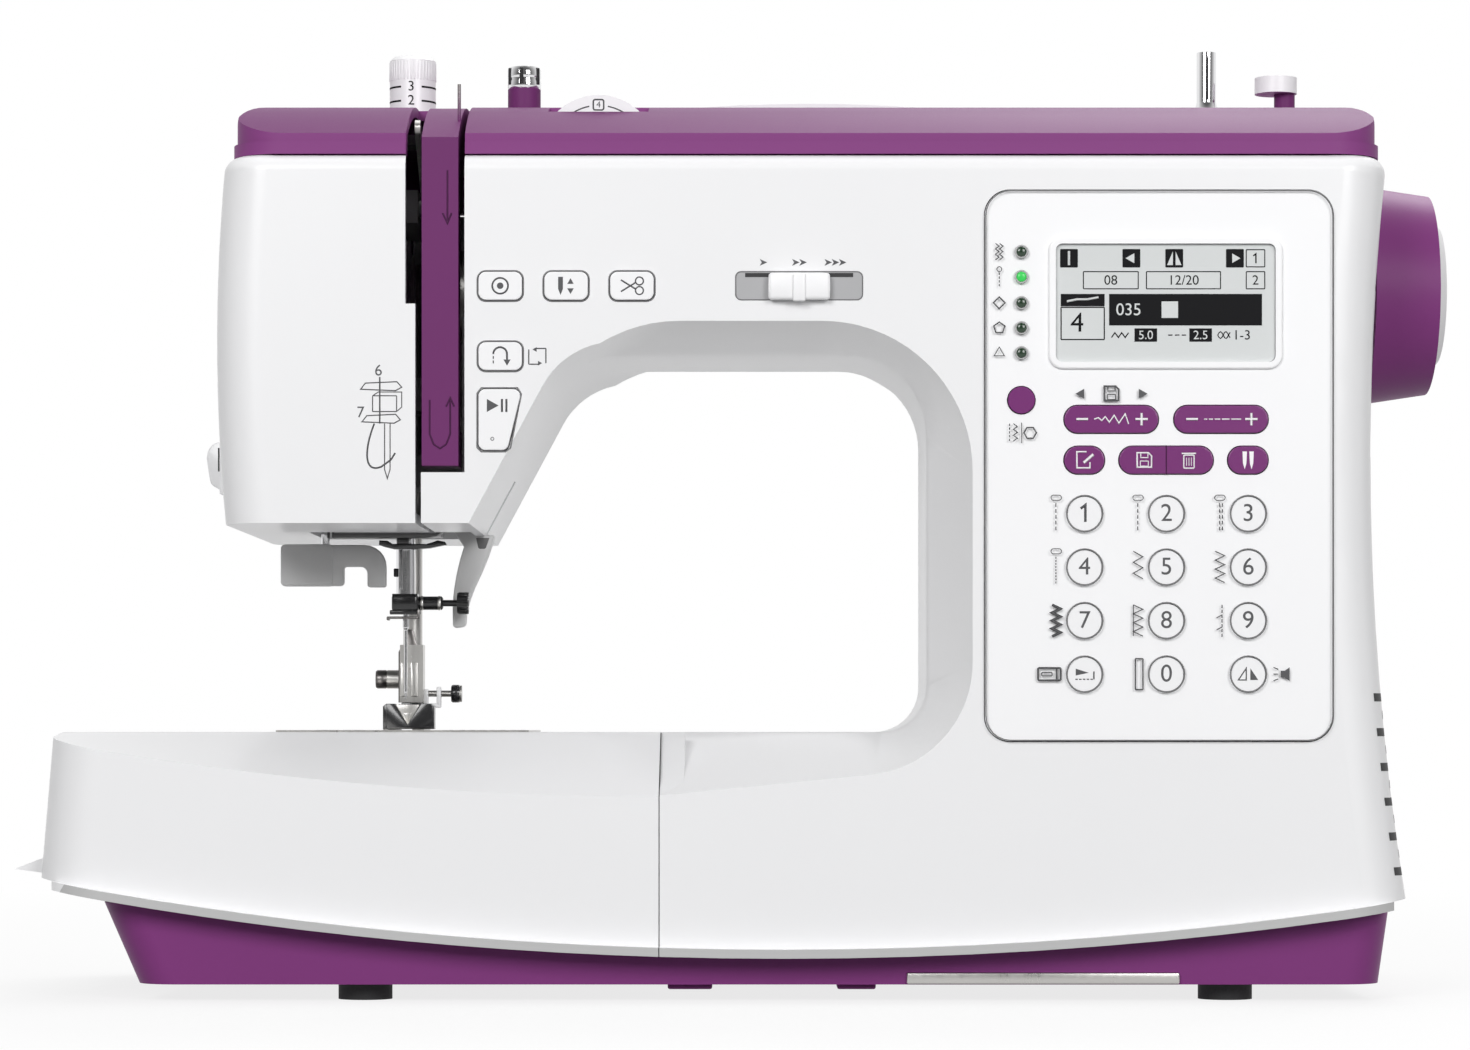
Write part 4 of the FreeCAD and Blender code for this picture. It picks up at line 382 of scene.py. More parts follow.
class Marks:
    """Printed lines, filled shapes and numbers on one upright plane, measured from an origin that moves."""

    def __init__(self, x=0, z=0):
        self.lines = {}
        self.bm = bmesh.new()
        self.at(x, z)

    def at(self, x, z):
        self.x, self.z = x, z

    def on(self, node):
        """Moves the origin to the middle of a CAD node's front and gives the front's plane."""
        self.x, self.z, plane = middle(node)
        return plane

    def placed(self, points):
        return [(self.x + x, self.z + z) for x, z in points]

    def line(self, points, width=None, closed=False):
        width = width or bpy.context.scene.machine_looks.line / MM
        self.lines.setdefault(width, []).append((self.placed(points), closed))

    def frame(self, node, grow, radius, width):
        """A rounded outline of a CAD node's front, larger than its box by grow."""
        low, high = span(node)
        self.on(node)
        self.line(plate(0, 0, high.x - low.x + grow, high.z - low.z + grow, radius), width, True)

    def dashes(self, x, z, step, dash, count, down=True):
        for start in (i * step for i in range(count)):
            self.line([(x, z - end) if down else (x + end, z) for end in (start, start + dash)])

    def fill(self, points):
        face = self.bm.faces.new([self.bm.verts.new((x * MM, 0, z * MM)) for x, z in self.placed(points)])
        face.normal_update()
        if face.normal.y > 0:
            face.normal_flip()

    def arrow(self, x, z, size, turn=0):
        self.fill(circle(x, z, size, turn, 360, 3))

    def disk(self, x, z):
        """A storage symbol: a square with a cut corner, a shutter and a label."""
        half, cut = 2.1, 1.2
        self.line([(x - half, z - half), (x - half, z + half), (x + cut, z + half), (x + half, z + cut),
                   (x + half, z - half)], 0.5, True)
        self.line([(x - half / 2, z + half), (x - half / 2, z + half / 3), (x + half / 2, z + half / 3),
                   (x + half / 2, z + half)], 0.35)
        self.line(plate(x, z - half / 2, half * 1.1, half * 0.7, 0.1), 0.3, True)

    def take(self, curve, flat=1.0):
        """Turns a flat curve upright, facing the operator, and adds it."""
        holder = bpy.data.objects.new("Mark", curve)
        bpy.context.scene.collection.objects.link(holder)
        bpy.context.view_layer.update()
        mesh = bpy.data.meshes.new_from_object(holder.evaluated_get(bpy.context.evaluated_depsgraph_get()))
        mesh.transform(Matrix.Rotation(math.radians(90), 4, "X") @ Matrix.Diagonal((1, 1, flat, 1)))
        self.bm.from_mesh(mesh)
        bpy.data.objects.remove(holder)
        bpy.data.curves.remove(curve)
        bpy.data.meshes.remove(mesh)

    def text(self, words, x, z, size):
        """Numbers in the plain font, centred; a single 1 is a stroke with a flag."""
        if words == "1":
            stem = x + 0.03 * size
            self.line([(x - 0.16 * size, z + 0.2 * size), (stem, z + 0.35 * size), (stem, z - 0.34 * size)],
                      0.1 * size)
            return
        curve = bpy.data.curves.new("Number", "FONT")
        curve.body = words
        curve.size = size * MM
        curve.align_x = curve.align_y = "CENTER"
        count = len(self.bm.verts)
        self.take(curve)
        self.bm.verts.ensure_lookup_table()
        bmesh.ops.translate(self.bm, verts=self.bm.verts[count:],
                            vec=((self.x + x) * MM, 0, (self.z + z) * MM))

    def piece(self, name, plane, finish_name, body="machine"):
        """Writes the marks as one mesh at the plane's Y, in metres."""
        for width, lines in self.lines.items():
            curve = bpy.data.curves.new("Lines", "CURVE")
            curve.bevel_depth = width * MM / 2
            curve.bevel_resolution = 0
            for points, closed in lines:
                spline = curve.splines.new("POLY")
                spline.points.add(len(points) - 1)
                spline.use_cyclic_u = closed
                for point, (x, z) in zip(spline.points, points):
                    point.co = (x * MM, z * MM, 0, 1)
            self.take(curve, INK_LIFT / (width * MM))
        bmesh.ops.translate(self.bm, verts=self.bm.verts, vec=(0, plane - INK_LIFT, 0))
        return dress(self.bm, name, finish_name, body)


def dress(bm, name, finish_name, body="machine", angle=None):
    """Makes a finished piece of a bmesh, riding on a body of the frame."""
    mesh = bpy.data.meshes.new(name)
    if angle:
        bmesh.ops.recalc_face_normals(bm, faces=bm.faces)
    bm.to_mesh(mesh)
    bm.free()
    piece = bpy.data.objects.new(name, mesh)
    bpy.context.scene.collection.objects.link(piece)
    mesh.materials.append(materials()[finish_name])
    if angle:
        mesh.shade_smooth()
        mesh.set_sharp_from_angle(angle=math.radians(angle))
    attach(piece, body)
    return piece


def draw_stitch(marks, number):
    """The stitch picture at the left of a number key."""
    x, z, _ = middle(f"number_key_{number}")
    marks.at(x - 8.3, z + 4.6)
    if number <= 4:
        step, dash, count = (1.7, 1.1, 5) if number < 4 else (0.9, 0.6, 9)
        marks.line(plate(0, 0, 3, 1.5, 0.7), 0.25, True)
        marks.dashes(-0.1, -1.6, step, dash, count)
        if number == 3:
            marks.dashes(0.7, -1.6, step, dash, count)
    elif number == 7:
        marks.line(zigzag(0, 0, 1.15, 1.2, 9), 0.8)
    elif number == 9:
        marks.dashes(0.6, 0, 1.4, 1.0, 7)
        for drop in (3, 6.5):
            marks.line([(0.6, -drop), (-1, -drop - 0.8)], 0.3)
    else:
        step, count = (1.6, 6) if number == 5 else (1.3, 8)
        marks.line(zigzag(0, 0, step, 1.4, count), 0.3)
        if number == 8:
            marks.line([(-1.4, 0), (-1.4, -9.1)], 0.3)


def draw_key_icons(marks):
    """Icons beside the lowest round keys, above the width key and below the mode key."""
    marks.on("pattern_key")
    marks.line(plate(-10.3, 0, 6.6, 3.6, 0.4), 0.55, True)
    marks.line(plate(-11, 0, 3, 1, 0.3), 0.35, True)
    marks.line([(-8.2, -1.6), (-8.2, 1.6)], 0.5)
    marks.on("number_key_0")
    marks.line(plate(-8, 0, 2.2, 9, 0.2), 0.4, True)
    marks.on("mirror_key")
    marks.fill([(9.4, -1), (10.6, -1), (12, -2), (12, 2), (10.6, 1), (9.4, 1)])
    for rise in (-1.4, 0, 1.4):
        marks.line([(7.3, rise * 1.4), (8.7, rise)], 0.3)
    marks.on("width_key")
    marks.arrow(-8.8, 7.4, 1.7, 180)
    marks.arrow(8.8, 7.4, 1.7)
    marks.disk(0, 7.5)
    marks.on("mode_key")
    marks.dashes(-3.5, -6.9, 1.1, 0.7, 5)
    marks.line(zigzag(-1.8, -6.9, 0.85, 0.6, 7), 0.28)
    marks.line([(0, -6.6), (0, -12.6)], 0.25)
    marks.line(circle(2.5, -9.6, 1.8, count=6), 0.4, True)


def draw_lamp_icons(marks):
    """A small sign at the left of each lamp."""
    for i, lamp_z in enumerate(LAMP_ROWS):
        marks.at(LAMP_X - 6.5, lamp_z)
        if i == 0:
            for x in (-0.6, 0.6):
                marks.line(zigzag(x, 2.4, 0.8, 0.5, 7), 0.3)
        elif i == 1:
            marks.line(circle(0, 2.2, 0.7), 0.25, True)
            marks.dashes(0, 1.2, 1.1, 0.7, 4)
        else:
            sides, width = ((4, 0.4), (5, 0.4), (3, 0.25))[i - 2]
            marks.line(circle(0, 0, 1.7, 90, 360, sides), width, True)


def make_panel_lamps():
    """Five small domed lamps in grey rings, the second one lit."""
    rings = Marks()
    for i, z in enumerate(LAMP_ROWS):
        bm = bmesh.new()
        bmesh.ops.create_uvsphere(bm, u_segments=24, v_segments=12, radius=1.45 * MM)
        bmesh.ops.scale(bm, vec=(1, 0.35, 1), verts=bm.verts)
        bmesh.ops.translate(bm, vec=(LAMP_X * MM, FRONT, z * MM), verts=bm.verts)
        dress(bm, f"panel_lamp_{i + 1}", "lamp_green" if i == 1 else "lamp_off", angle=CREASE)
        rings.line(circle(LAMP_X, z, 1.75), 0.5, True)
    rings.piece("lamp_rings", FRONT, "lip_shade_and_ring_grey")


class SEWING_OT_panel_marks(bpy.types.Operator):
    """Outlines, stitch icons and lamps printed on the control panel"""
    bl_idname = "sewing.panel_marks"
    bl_label = "Panel Marks"

    def execute(self, context):
        marks, outline = Marks(), Marks()
        outline.frame("control_panel", -0.4, 7.2, 0.36)
        for node in ROUND_KEYS:
            outline.on(node)
            outline.line(circle(0, 0, 5.25), context.scene.machine_looks.outline / MM, True)
        outline.piece("panel_outlines", FRONT, "outline_ink")
        for number in range(1, 10):
            draw_stitch(marks, number)
        draw_key_icons(marks)
        draw_lamp_icons(marks)
        marks.piece("panel_print", FRONT, "ink")
        make_panel_lamps()
        return {"FINISHED"}


class SEWING_OT_key_marks(bpy.types.Operator):
    """Numbers and icons on the keys, each riding on its key"""
    bl_idname = "sewing.key_marks"
    bl_label = "Key Marks"

    def execute(self, context):
        looks = context.scene.machine_looks
        for i in range(10):
            node = f"number_key_{i}"
            marks = Marks()
            plane = marks.on(node)
            marks.text(str(i), 0, 0, looks.digit / MM)
            marks.piece(f"{node}_mark", plane, "ink", node)
        for node in ICON_KEYS:
            marks = Marks()
            plane = marks.on(node)
            getattr(self, node)(marks)
            marks.piece(f"{node}_mark", plane, "key_ink" if node in PURPLE_KEYS else "ink", node)
        # A darker purple line along the memory key's groove is painted shade.
        groove_shade = Marks()
        plane = groove_shade.on("memory_key")
        groove_shade.line([(0, 4.2), (0, -4.2)], 0.35)
        groove_shade.piece("memory_key_groove_shade", plane, "path_print_and_groove_shade", "memory_key")
        self.outlines(looks.outline / MM)
        return {"FINISHED"}

    def outlines(self, width):
        """Printed outlines of the touch keys on the head."""
        marks = Marks()
        for node in TOUCH_KEYS[:4]:
            marks.frame(node, 0.7, 2.5, width)
        low, high = span("start_stop_key")
        marks.at(low.x, low.z)
        wide, tall = high.x - low.x, high.z - low.z
        marks.line([(-0.4, tall - 1.2), (0.8, tall + 0.4), (wide - 0.8, tall + 0.4), (wide + 0.3, tall - 1.4),
                    (9.3, 0.7), (7.8, -0.4), (0.8, -0.4), (-0.4, 0.8)], width, True)
        marks.piece("touch_key_outlines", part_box("face_cover")[0].y, "outline_ink")

    def pattern_key(self, marks):
        marks.fill([(-2.6, 1.6), (1.2, 0.4), (-2.6, -0.4)])
        marks.dashes(-2.7, -1.5, 1.1, 0.7, 5, False)
        marks.line([(2.7, 0.8), (2.7, -1.5)], 0.4)

    def mirror_key(self, marks):
        marks.line([(-2.9, -1.7), (-0.6, -1.7), (-0.6, 1.7)], 0.35, True)
        marks.fill([(0.6, -1.7), (2.9, -1.7), (0.6, 1.7)])

    def lock_stitch_key(self, marks):
        marks.line(circle(0, 0, 2.3), 0.5, True)
        marks.fill(circle(0, 0, 0.95))

    def needle_position_key(self, marks):
        marks.fill([(-2.3, 2.6), (-0.9, 2.6), (-0.9, -0.9), (-1.6, -2.7), (-2.3, -0.9)])
        marks.arrow(1.3, 1.1, 1.1, 90)
        marks.arrow(1.3, -1.3, 1.1, 270)

    def thread_cut_key(self, marks):
        for side in (1, -1):
            marks.line([(-3.2, 1.7 * side), (1, -0.9 * side)], 0.45)
            marks.line(circle(2.2, 1.4 * side, 1.15), 0.4, True)

    def reverse_key(self, marks):
        marks.dashes(-2, 0, 1.3, 0.8, 2)
        marks.line(circle(0, 0.6, 2, 180, -180, 14) + [(2, -1)], 0.55)
        marks.arrow(2, -1.6, 1.2, 270)

    def start_stop_key(self, marks):
        marks.fill([(-3.6, 2.2), (-0.2, 4.1), (-3.6, 6)])
        for x in (0.8, 2.1):
            marks.line([(x, 2.2), (x, 6)], 0.6)
        marks.line(circle(-2, -5.6, 0.45), 0.2, True)

    def width_key(self, marks):
        self.plus_minus(marks)
        marks.line([(-5, 0), (-3.8, 0.4), (-2.8, -0.4), (-1.8, 0.7), (-0.6, -0.9), (0.8, 1.1), (2.2, -1.2),
                    (4, 1.5), (5, -1.4)], 0.42)

    def length_key(self, marks):
        self.plus_minus(marks)
        for start, reach in ((-5, 0.9), (-3.6, 1.2), (-1.9, 1.6), (0.2, 2.2), (2.9, 2.9)):
            marks.line([(start, 0), (start + reach, 0)], 0.4)

    def plus_minus(self, marks):
        """The minus and the plus at the two ends of a long key."""
        for ends in ([(-10.2, 0), (-6.8, 0)], [(7, 0), (10.6, 0)], [(8.8, -1.8), (8.8, 1.8)]):
            marks.line(ends, 0.75)

    def edit_key(self, marks):
        marks.line([(1.6, -0.6), (1.6, -2.3), (-2.2, -2.3), (-2.2, 2.4), (0.6, 2.4)], 0.5)
        marks.line([(-0.2, -0.8), (2.6, 1.6)], 0.9)

    def memory_key(self, marks):
        marks.disk(-6.4, 0)
        marks.line(plate(6.6, -0.5, 3, 3.8, 0.3), 0.45, True)
        marks.line([(4.5, 1.9), (8.7, 1.9)], 0.5)
        for x in (5.9, 6.6, 7.3):
            marks.line([(x, 0.7), (x, -1.7)], 0.25)

    def twin_needle_key(self, marks):
        for x in (-1, 1):
            marks.fill([(x - 0.65, 2.5), (x + 0.65, 2.5), (x + 0.5, -1), (x, -2.7), (x - 0.5, -1)])


def draw_top_row(dark, pale):
    """Four dark tiles with pale signs, and the framed numbers beside and below them."""
    for x in (2.6, 20.8, 33.3, 51):
        dark.fill(plate(x, -3, 5.2, 5.4, 0.3))
    pale.arrow(20.8, -3, 1.7, 180)
    pale.arrow(51, -3, 1.6)
    pale.line([(2.6, -0.9), (2.6, -5)], 0.8)
    for side in (-1, 1):
        inner, outer = 33.3 + side * 0.4, 33.3 + side * 2.1
        pale.fill([(inner, -5), (outer, -5), (inner, -1)])
    for x, z, width, words in ((14.8, -9.4, 16, "08"), (36, -9.4, 21.6, "12/20"), (57, -3, 5.4, "1"),
                               (57, -9.4, 5.4, "2")):
        dark.line(plate(x, z, width, 5, 0.2), 0.3, True)
        dark.text(words, x, z - 0.1, 4)


def draw_lower_rows(dark, pale):
    """Stitch number and dark bar, with the sizes and the step count below."""
    dark.fill(plate(6.6, -15.2, 12.8, 3.6, 0.1))
    pale.line([(2, -15.6), (5, -15), (8, -15), (11.2, -14.4)], 0.7)
    dark.line(plate(6.6, -22, 12.6, 9.4, 0.2), 0.35, True)
    dark.text("4", 5, -22, 8)
    dark.fill(plate(36.6, -18, 44.6, 9.2, 0.1))
    pale.text("035", 20, -18.1, 5)
    pale.fill(circle(32, -18, 3.4, 45, 360, 4))
    for x, words in ((25, "5.0"), (41, "2.5")):
        dark.fill(plate(x, -25.4, 6.6, 3.9, 0.1))
        pale.text(words, x, -25.5, 3.6)
    dark.line([(15 + i, -25.4 + (0.7 if i % 2 else -0.7)) for i in range(6)], 0.35)
    dark.dashes(31.5, -25.4, 2, 1.3, 3, False)
    dark.text("1-3", 53, -25.5, 4)
    for side in (1, -1):
        dark.line([(46 + i * 0.4, -25.4 + side * math.sin(i * 0.8)) for i in range(10)], 0.3)


class SEWING_OT_display(bpy.types.Operator):
    """Generic picture on the display: icons, boxes, a bar and plain numbers"""
    bl_idname = "sewing.display"
    bl_label = "Display Picture"

    def execute(self, context):
        dark, pale = Marks(*DISPLAY_CORNER), Marks(*DISPLAY_CORNER)
        draw_top_row(dark, pale)
        draw_lower_rows(dark, pale)
        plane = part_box("lcd_window")[0].y
        dark.piece("display_dark", plane, "display_ink")
        pale.piece("display_pale", plane - 2 * INK_LIFT, "display")
        return {"FINISHED"}


def draw_threading(marks):
    """A simple picture of the last thread guides and the needle, with step numbers."""
    marks.at(THREADING_X, 0)
    marks.text("6", -0.4, 184.4, 4.6)
    marks.text("7", -5.6, 172.2, 4.6)
    for z, half in ((180, 5.6), (170.5, 5.2)):
        marks.line([(-half, z - 1), (1.4 - half, z + 0.8), (half - 0.6, z + 1.2), (half + 0.8, z - 0.4),
                    (half - 1, z - 1.4)], 0.32, True)
    marks.line(plate(1.4, 174.8, 7, 4.6, 0.2), 0.3, True)
    marks.line([(-2.1, 177.1), (-0.4, 178.2), (6.4, 178.2), (6.4, 173.8), (4.9, 172.5)], 0.28)
    marks.line([(0, 182.6), (0, 169)], 0.42)
    marks.line([(1.4, 169), (1.4, 155.6), (2.2, 153), (3, 155.6), (3, 169)], 0.3)
    loop = [Vector(p) for p in ((-1.6, 169), (-4.4, 162), (-5, 154.2), (0.4, 156.4))]
    marks.line([*geometry.interpolate_bezier(*loop, 20), (3.2, 158.4), (4.5, 160.4)], 0.5)


class SEWING_OT_casing_marks(bpy.types.Operator):
    """Printed marks on the head: threading picture, speed arrows and the corner arrows"""
    bl_idname = "sewing.casing_marks"
    bl_label = "Casing Marks"

    def execute(self, context):
        marks = Marks()
        x, _, _ = middle("speed_slider")
        for speed in range(3):
            for k in range(speed + 1):
                marks.at(x + (speed - 1) * 10.5 + (k - speed / 2) * 2.1, 216)
                marks.fill([(-1, 1), (1.2, 0), (-1, -1), (-0.4, 0)])
        x, z, _ = middle("reverse_key")
        marks.at(x + 10.8, z)
        for side in (1, -1):
            corner = (2.5 * side, 2.3 * side)
            for end in ((-0.6 * side, 2.3 * side), (2.5 * side, -2 * side)):
                marks.line([corner, end], 0.35)
            marks.arrow(-0.6 * side, 2 * side, 0.8, 180 if side > 0 else 0)
        draw_threading(marks)
        marks.piece("casing_print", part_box("face_cover")[0].y, "ink")
        return {"FINISHED"}


AXIS_TURN = {"X": Matrix.Rotation(math.radians(90), 4, "Y"), "Y": Matrix.Rotation(math.radians(90), 4, "X"),
             "Z": Matrix()}


def join(bm, part):
    """Adds one small bmesh to another and frees it."""
    mesh = bpy.data.meshes.new("Part")
    part.to_mesh(mesh)
    part.free()
    bm.from_mesh(mesh)
    bpy.data.meshes.remove(mesh)


def soften(bm, geom, offset, segments, affect="EDGES"):
    """Bevels edges or corners to a round."""
    bmesh.ops.bevel(bm, geom=geom, offset=offset * MM, affect=affect, segments=segments, profile=0.5,
                    material=-1)


def push(bm, grown, by):
    """Moves what an extrusion has made by a vector."""
    moved = [v for v in grown["geom"] if isinstance(v, bmesh.types.BMVert)]
    bmesh.ops.translate(bm, vec=Vector(by) * MM, verts=moved)


def boxed(bm, low, high, bevel=0.0, segments=2):
    """Adds a box between two corners, with its edges bevelled."""
    part = bmesh.new()
    bmesh.ops.create_cube(part, size=1)
    low, high = Vector(low) * MM, Vector(high) * MM
    bmesh.ops.scale(part, vec=high - low, verts=part.verts)
    bmesh.ops.translate(part, vec=(low + high) / 2, verts=part.verts)
    if bevel:
        soften(part, part.edges[:], bevel, segments)
    join(bm, part)


def turned(bm, profile, place, axis="Z"):
    """Spins (radius, height) points round an axis through a place."""
    part = bmesh.new()
    verts = [part.verts.new((r * MM, 0, h * MM)) for r, h in profile]
    edges = [part.edges.new(pair) for pair in zip(verts, verts[1:])]
    bmesh.ops.spin(part, geom=verts + edges, cent=(0, 0, 0), axis=(0, 0, 1), angle=math.tau, steps=32,
                   use_merge=True)
    bmesh.ops.remove_doubles(part, verts=part.verts, dist=1e-6)
    part.transform(Matrix.Translation(Vector(place) * MM) @ AXIS_TURN[axis])
    join(bm, part)


def slab(bm, points, front, back, rounds, edge):
    """An outline in X and Z, rounded at chosen corners, extruded from front to back, with bevelled rims."""
    part = bmesh.new()
    corners = [part.verts.new((x * MM, front * MM, z * MM)) for x, z in points]
    part.faces.new(corners)
    for radius, picks in rounds:
        soften(part, [corners[i] for i in picks], radius, 6, "VERTICES")
    push(part, bmesh.ops.extrude_face_region(part, geom=part.faces[:]), (0, back - front, 0))
    rim = [e for e in part.edges if abs(e.verts[0].co.y - e.verts[1].co.y) < 1e-7]
    soften(part, rim, edge, 2)
    join(bm, part)


def ribs(bm, count, radius, low, high, size, centre, axis="Z"):
    """Bevelled ribs round a knob, along its axis."""
    for i in range(count):
        rib = bmesh.new()
        boxed(rib, (radius - size, -size / 2, low), (radius + size / 2, size / 2, high), size / 4, 1)
        turn = AXIS_TURN[axis] @ Matrix.Rotation(math.tau * i / count, 4, "Z")
        rib.transform(Matrix.Translation(Vector(centre) * MM) @ turn)
        join(bm, rib)


def fit(name, finish_name, body, *shapes, angle=CREASE):
    """Makes one finished piece of several shapes, each given as its function and the values it takes."""
    bm = bmesh.new()
    for shape, *values in shapes:
        shape(bm, *values)
    return dress(bm, name, finish_name, body, angle)


def make_knob(rib_count):
    """Ribs of the pressure knob, and its two painted rings with their numbers."""
    low, high = span("pressure_knob")
    x, y, radius = (low.x + high.x) / 2, (low.y + high.y) / 2, (high.x - low.x) / 2
    fit("pressure_knob_ribs", "key_white", "knob",
        (ribs, rib_count, radius - 0.1, high.z - 7.5, high.z - 1.6, 0.5, (x, y, 0)))
    numbers = Marks()
    for z, words in ((280.2, "3"), (275.8, "2")):
        make_ring(x, y, radius, z, words)
        numbers.text(words, x, z, 4.4)
    numbers.piece("pressure_knob_numbers", (y - radius) * MM, "display_ink", "knob")


def make_ring(x, y, radius, z, words):
    """A painted ring, open at the front where its number stands."""
    height = 0.6
    bm = bmesh.new()
    bmesh.ops.create_circle(bm, segments=96, radius=(radius + 0.04) * MM)
    push(bm, bmesh.ops.extrude_edge_only(bm, edges=bm.edges[:]), (0, 0, height))
    front = [f for f in bm.faces if f.calc_center_median().y < -0.9 * radius * MM]
    bmesh.ops.delete(bm, geom=front, context="FACES")
    bmesh.ops.translate(bm, vec=Vector((x, y, z - height / 2)) * MM, verts=bm.verts)
    dress(bm, f"pressure_ring_{words}", "display_ink", "knob", ROUND_CREASE)


def make_dial(rib_count):
    """Ribs, two arcs and the numbers of the dial, the one at the top in a frame."""
    low, high = span("tension_dial")
    radius = (high.x - low.x) / 2
    marks = Marks()
    plane = marks.on("tension_dial")
    fit("tension_dial_ribs", "key_white", "dial",
        (ribs, rib_count, radius - 0.25, -low.y - 8.6, -low.y - 0.3, 0.7, (marks.x, 0, marks.z), "Y"))
    for start in (38, 101):
        marks.line(circle(0, 0, radius - 3.1, start, 41, 10), 0.4)
    marks.line(plate(0, radius - 2.9, 3.1, 3.1, 0.6), 0.45, True)
    marks.text("4", 0, radius - 2.9, 2.6)
    for step, words in ((-50, "3"), (50, "5"), (-95, "2"), (95, "6"), (-140, "1"), (140, "7")):
        turn = math.radians(90 - step)
        marks.text(words, (radius - 3) * math.cos(turn), (radius - 3) * math.sin(turn), 3.2)
    marks.piece("tension_dial_numbers", plane, "ink", "dial")


class SEWING_OT_knobs(bpy.types.Operator):
    """Ribs, rings and numbers of the pressure knob and the tension dial"""
    bl_idname = "sewing.knobs"
    bl_label = "Knobs"

    def execute(self, context):
        looks = context.scene.machine_looks
        make_knob(looks.knob_ribs)
        make_dial(looks.dial_ribs)
        return {"FINISHED"}


def make_speed_slot():
    """Grey tray, rim and a dark sheet of painted shade for the slit of the speed control, and the thumb piece
    on its slider.
    """
    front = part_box("front_housing")[0].y + 4 * MM
    x, _, _ = middle("speed_slider")
    y, z = span("speed_slider")[0].y, SPEED_Z
    tray, slit, rim = (Marks(x, z) for _ in range(3))
    tray.fill(plate(0, 0, 37, 8.2, 1.6))
    slit.fill(plate(0, 3.1, 31.5, 1.2, 0.1))
    rim.line(plate(0, 0, 37, 8.2, 1.6), 0.35, True)
    tray.piece("speed_tray", front, "slot_grey")
    # The dark slit is painted shade.
    slit.piece("speed_slit", front - 0.05 * MM, "painted_gap_shade")
    rim.piece("speed_rim", front - 0.05 * MM, "outline_ink")
    fit("speed_thumb", "key_white", "slider",
        (boxed, (x - 9, y - 0.35, z - 4.4), (x + 9, y + 1.8, z + 3.6), 1.1, 3),
        (boxed, (x - 1.9, y - 1.15, z - 4.9), (x + 1.9, y + 0.3, z + 3.2), 0.6, 3))


def make_corner_vents():
    """The vent pattern carried round the front corner: dark sheets of painted shade for the vent openings, laid
    on the casing.
    """
    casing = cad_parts["front_housing"].data
    points = [v.co for v in casing.vertices]
    skin = BVHTree.FromPolygons(points, [tuple(face.vertices) for face in casing.polygons])
    wide, tall, pitch, lowest = 8, 2.4, 5.1, 37
    bm = bmesh.new()
    for row in range(11):
        part = bmesh.new()
        bmesh.ops.create_grid(part, x_segments=12, y_segments=4, size=0.5)
        left, low = -69.5 if row % 2 else -75, lowest + row * pitch
        for vert in part.verts:
            y, z = left + (vert.co.x + 0.5) * wide, low + (vert.co.y + 0.5) * tall
            hit, normal, _, _ = skin.ray_cast(Vector((260, y, z)) * MM, Vector((-1, 0, 0)))
            vert.co = hit + normal * VENT_LIFT
        join(bm, part)
    # Dark sheets of painted shade for the vent openings.
    dress(bm, "corner_vent_shades", "painted_gap_shade", angle=ROUND_CREASE)


def make_thread_path():
    """Dark arrows of the thread's way on the purple strip."""
    marks = Marks()
    plane = marks.on("thread_panel")
    marks.at(marks.x, 0)
    for points in ([(2.2, 243), (2.2, 228)], [(0.8, 230.5), (2.2, 227.6), (3.4, 230.5)],
                   [(-3, 176), (-3, 166), (-1.8, 163), (0, 161.8), (1.8, 163), (3, 166), (3, 176)],
                   [(1.8, 174), (3, 176.6), (4.2, 174)]):
        marks.line(points, 0.5)
    marks.piece("thread_path", plane, "path_print_and_groove_shade")


def make_plate_guides():
    """Seam guides across the needle plate; those at the needle's right leave the plate's middle free."""
    low, high = span("needle_plate")
    front, back = low.y + 4, high.y - 4
    guides = [(-90 + i * 3.2, *ends) for i in range(7) for ends in ((front, -24), (12, back))]
    guides += [(x, front, back) for x in (-122, -130)]
    half = 0.15
    fit("plate_guides", "ink", "machine",
        *((boxed, (x - half, start, high.z - 0.02), (x + half, end, high.z + 0.03))
          for x, start, end in guides), angle=None)


def make_table_slots():
    """Small catch slot and two marks on the table's free end."""
    edge = span("extension_table")[0].x + 8.6
    fit("table_end_slots", "slot_grey", "table",
        (boxed, (edge + 2.6, -60, 66.4), (edge + 4.4, -57.4, 70.6), 0.2, 1),
        (boxed, (edge + 1.6, -58, 55.4), (edge + 3.2, -56.4, 56.4), 0.2, 1),
        (boxed, (edge + 0.8, -58, 45.6), (edge + 2.4, -56.4, 46.4), 0.2, 1), angle=None)


def make_seam_fillets():
    """Wedges that close the step between bed and table, and a dark strip of painted shade in the joint's gap.
    """
    edge = span("extension_table")[1].x + 0.3
    wedge = [(79.8, 60.6), (68.3, 65.6), (45, 79), (42, 79), (42, 72.8)]
    skin = [(83.8, 14.2), (83.8, 16.1), (79.7, 16.3), (79.7, 60.2), (47.6, 78.8), (46, 78.8), (76.5, 59),
            (76.5, 14.2)]
    # The second piece is a thin dark strip of painted shade in the gap between bed and table.
    for name, finish_name, outline, left, right in (
            ("seam_fillets", "white_casing", wedge, edge, edge + 7),
            ("seam_gap_shade", "painted_gap_shade", skin, edge - 0.24, edge - 0.02)):
        bm = bmesh.new()
        for side in (-1, 1):
            part = bmesh.new()
            corners = [part.verts.new((left * MM, side * y * MM, z * MM)) for y, z in outline]
            face = part.faces.new(corners)
            push(part, bmesh.ops.extrude_face_region(part, geom=[face]), (right - left, 0, 0))
            join(bm, part)
        dress(bm, name, finish_name, angle=CREASE)


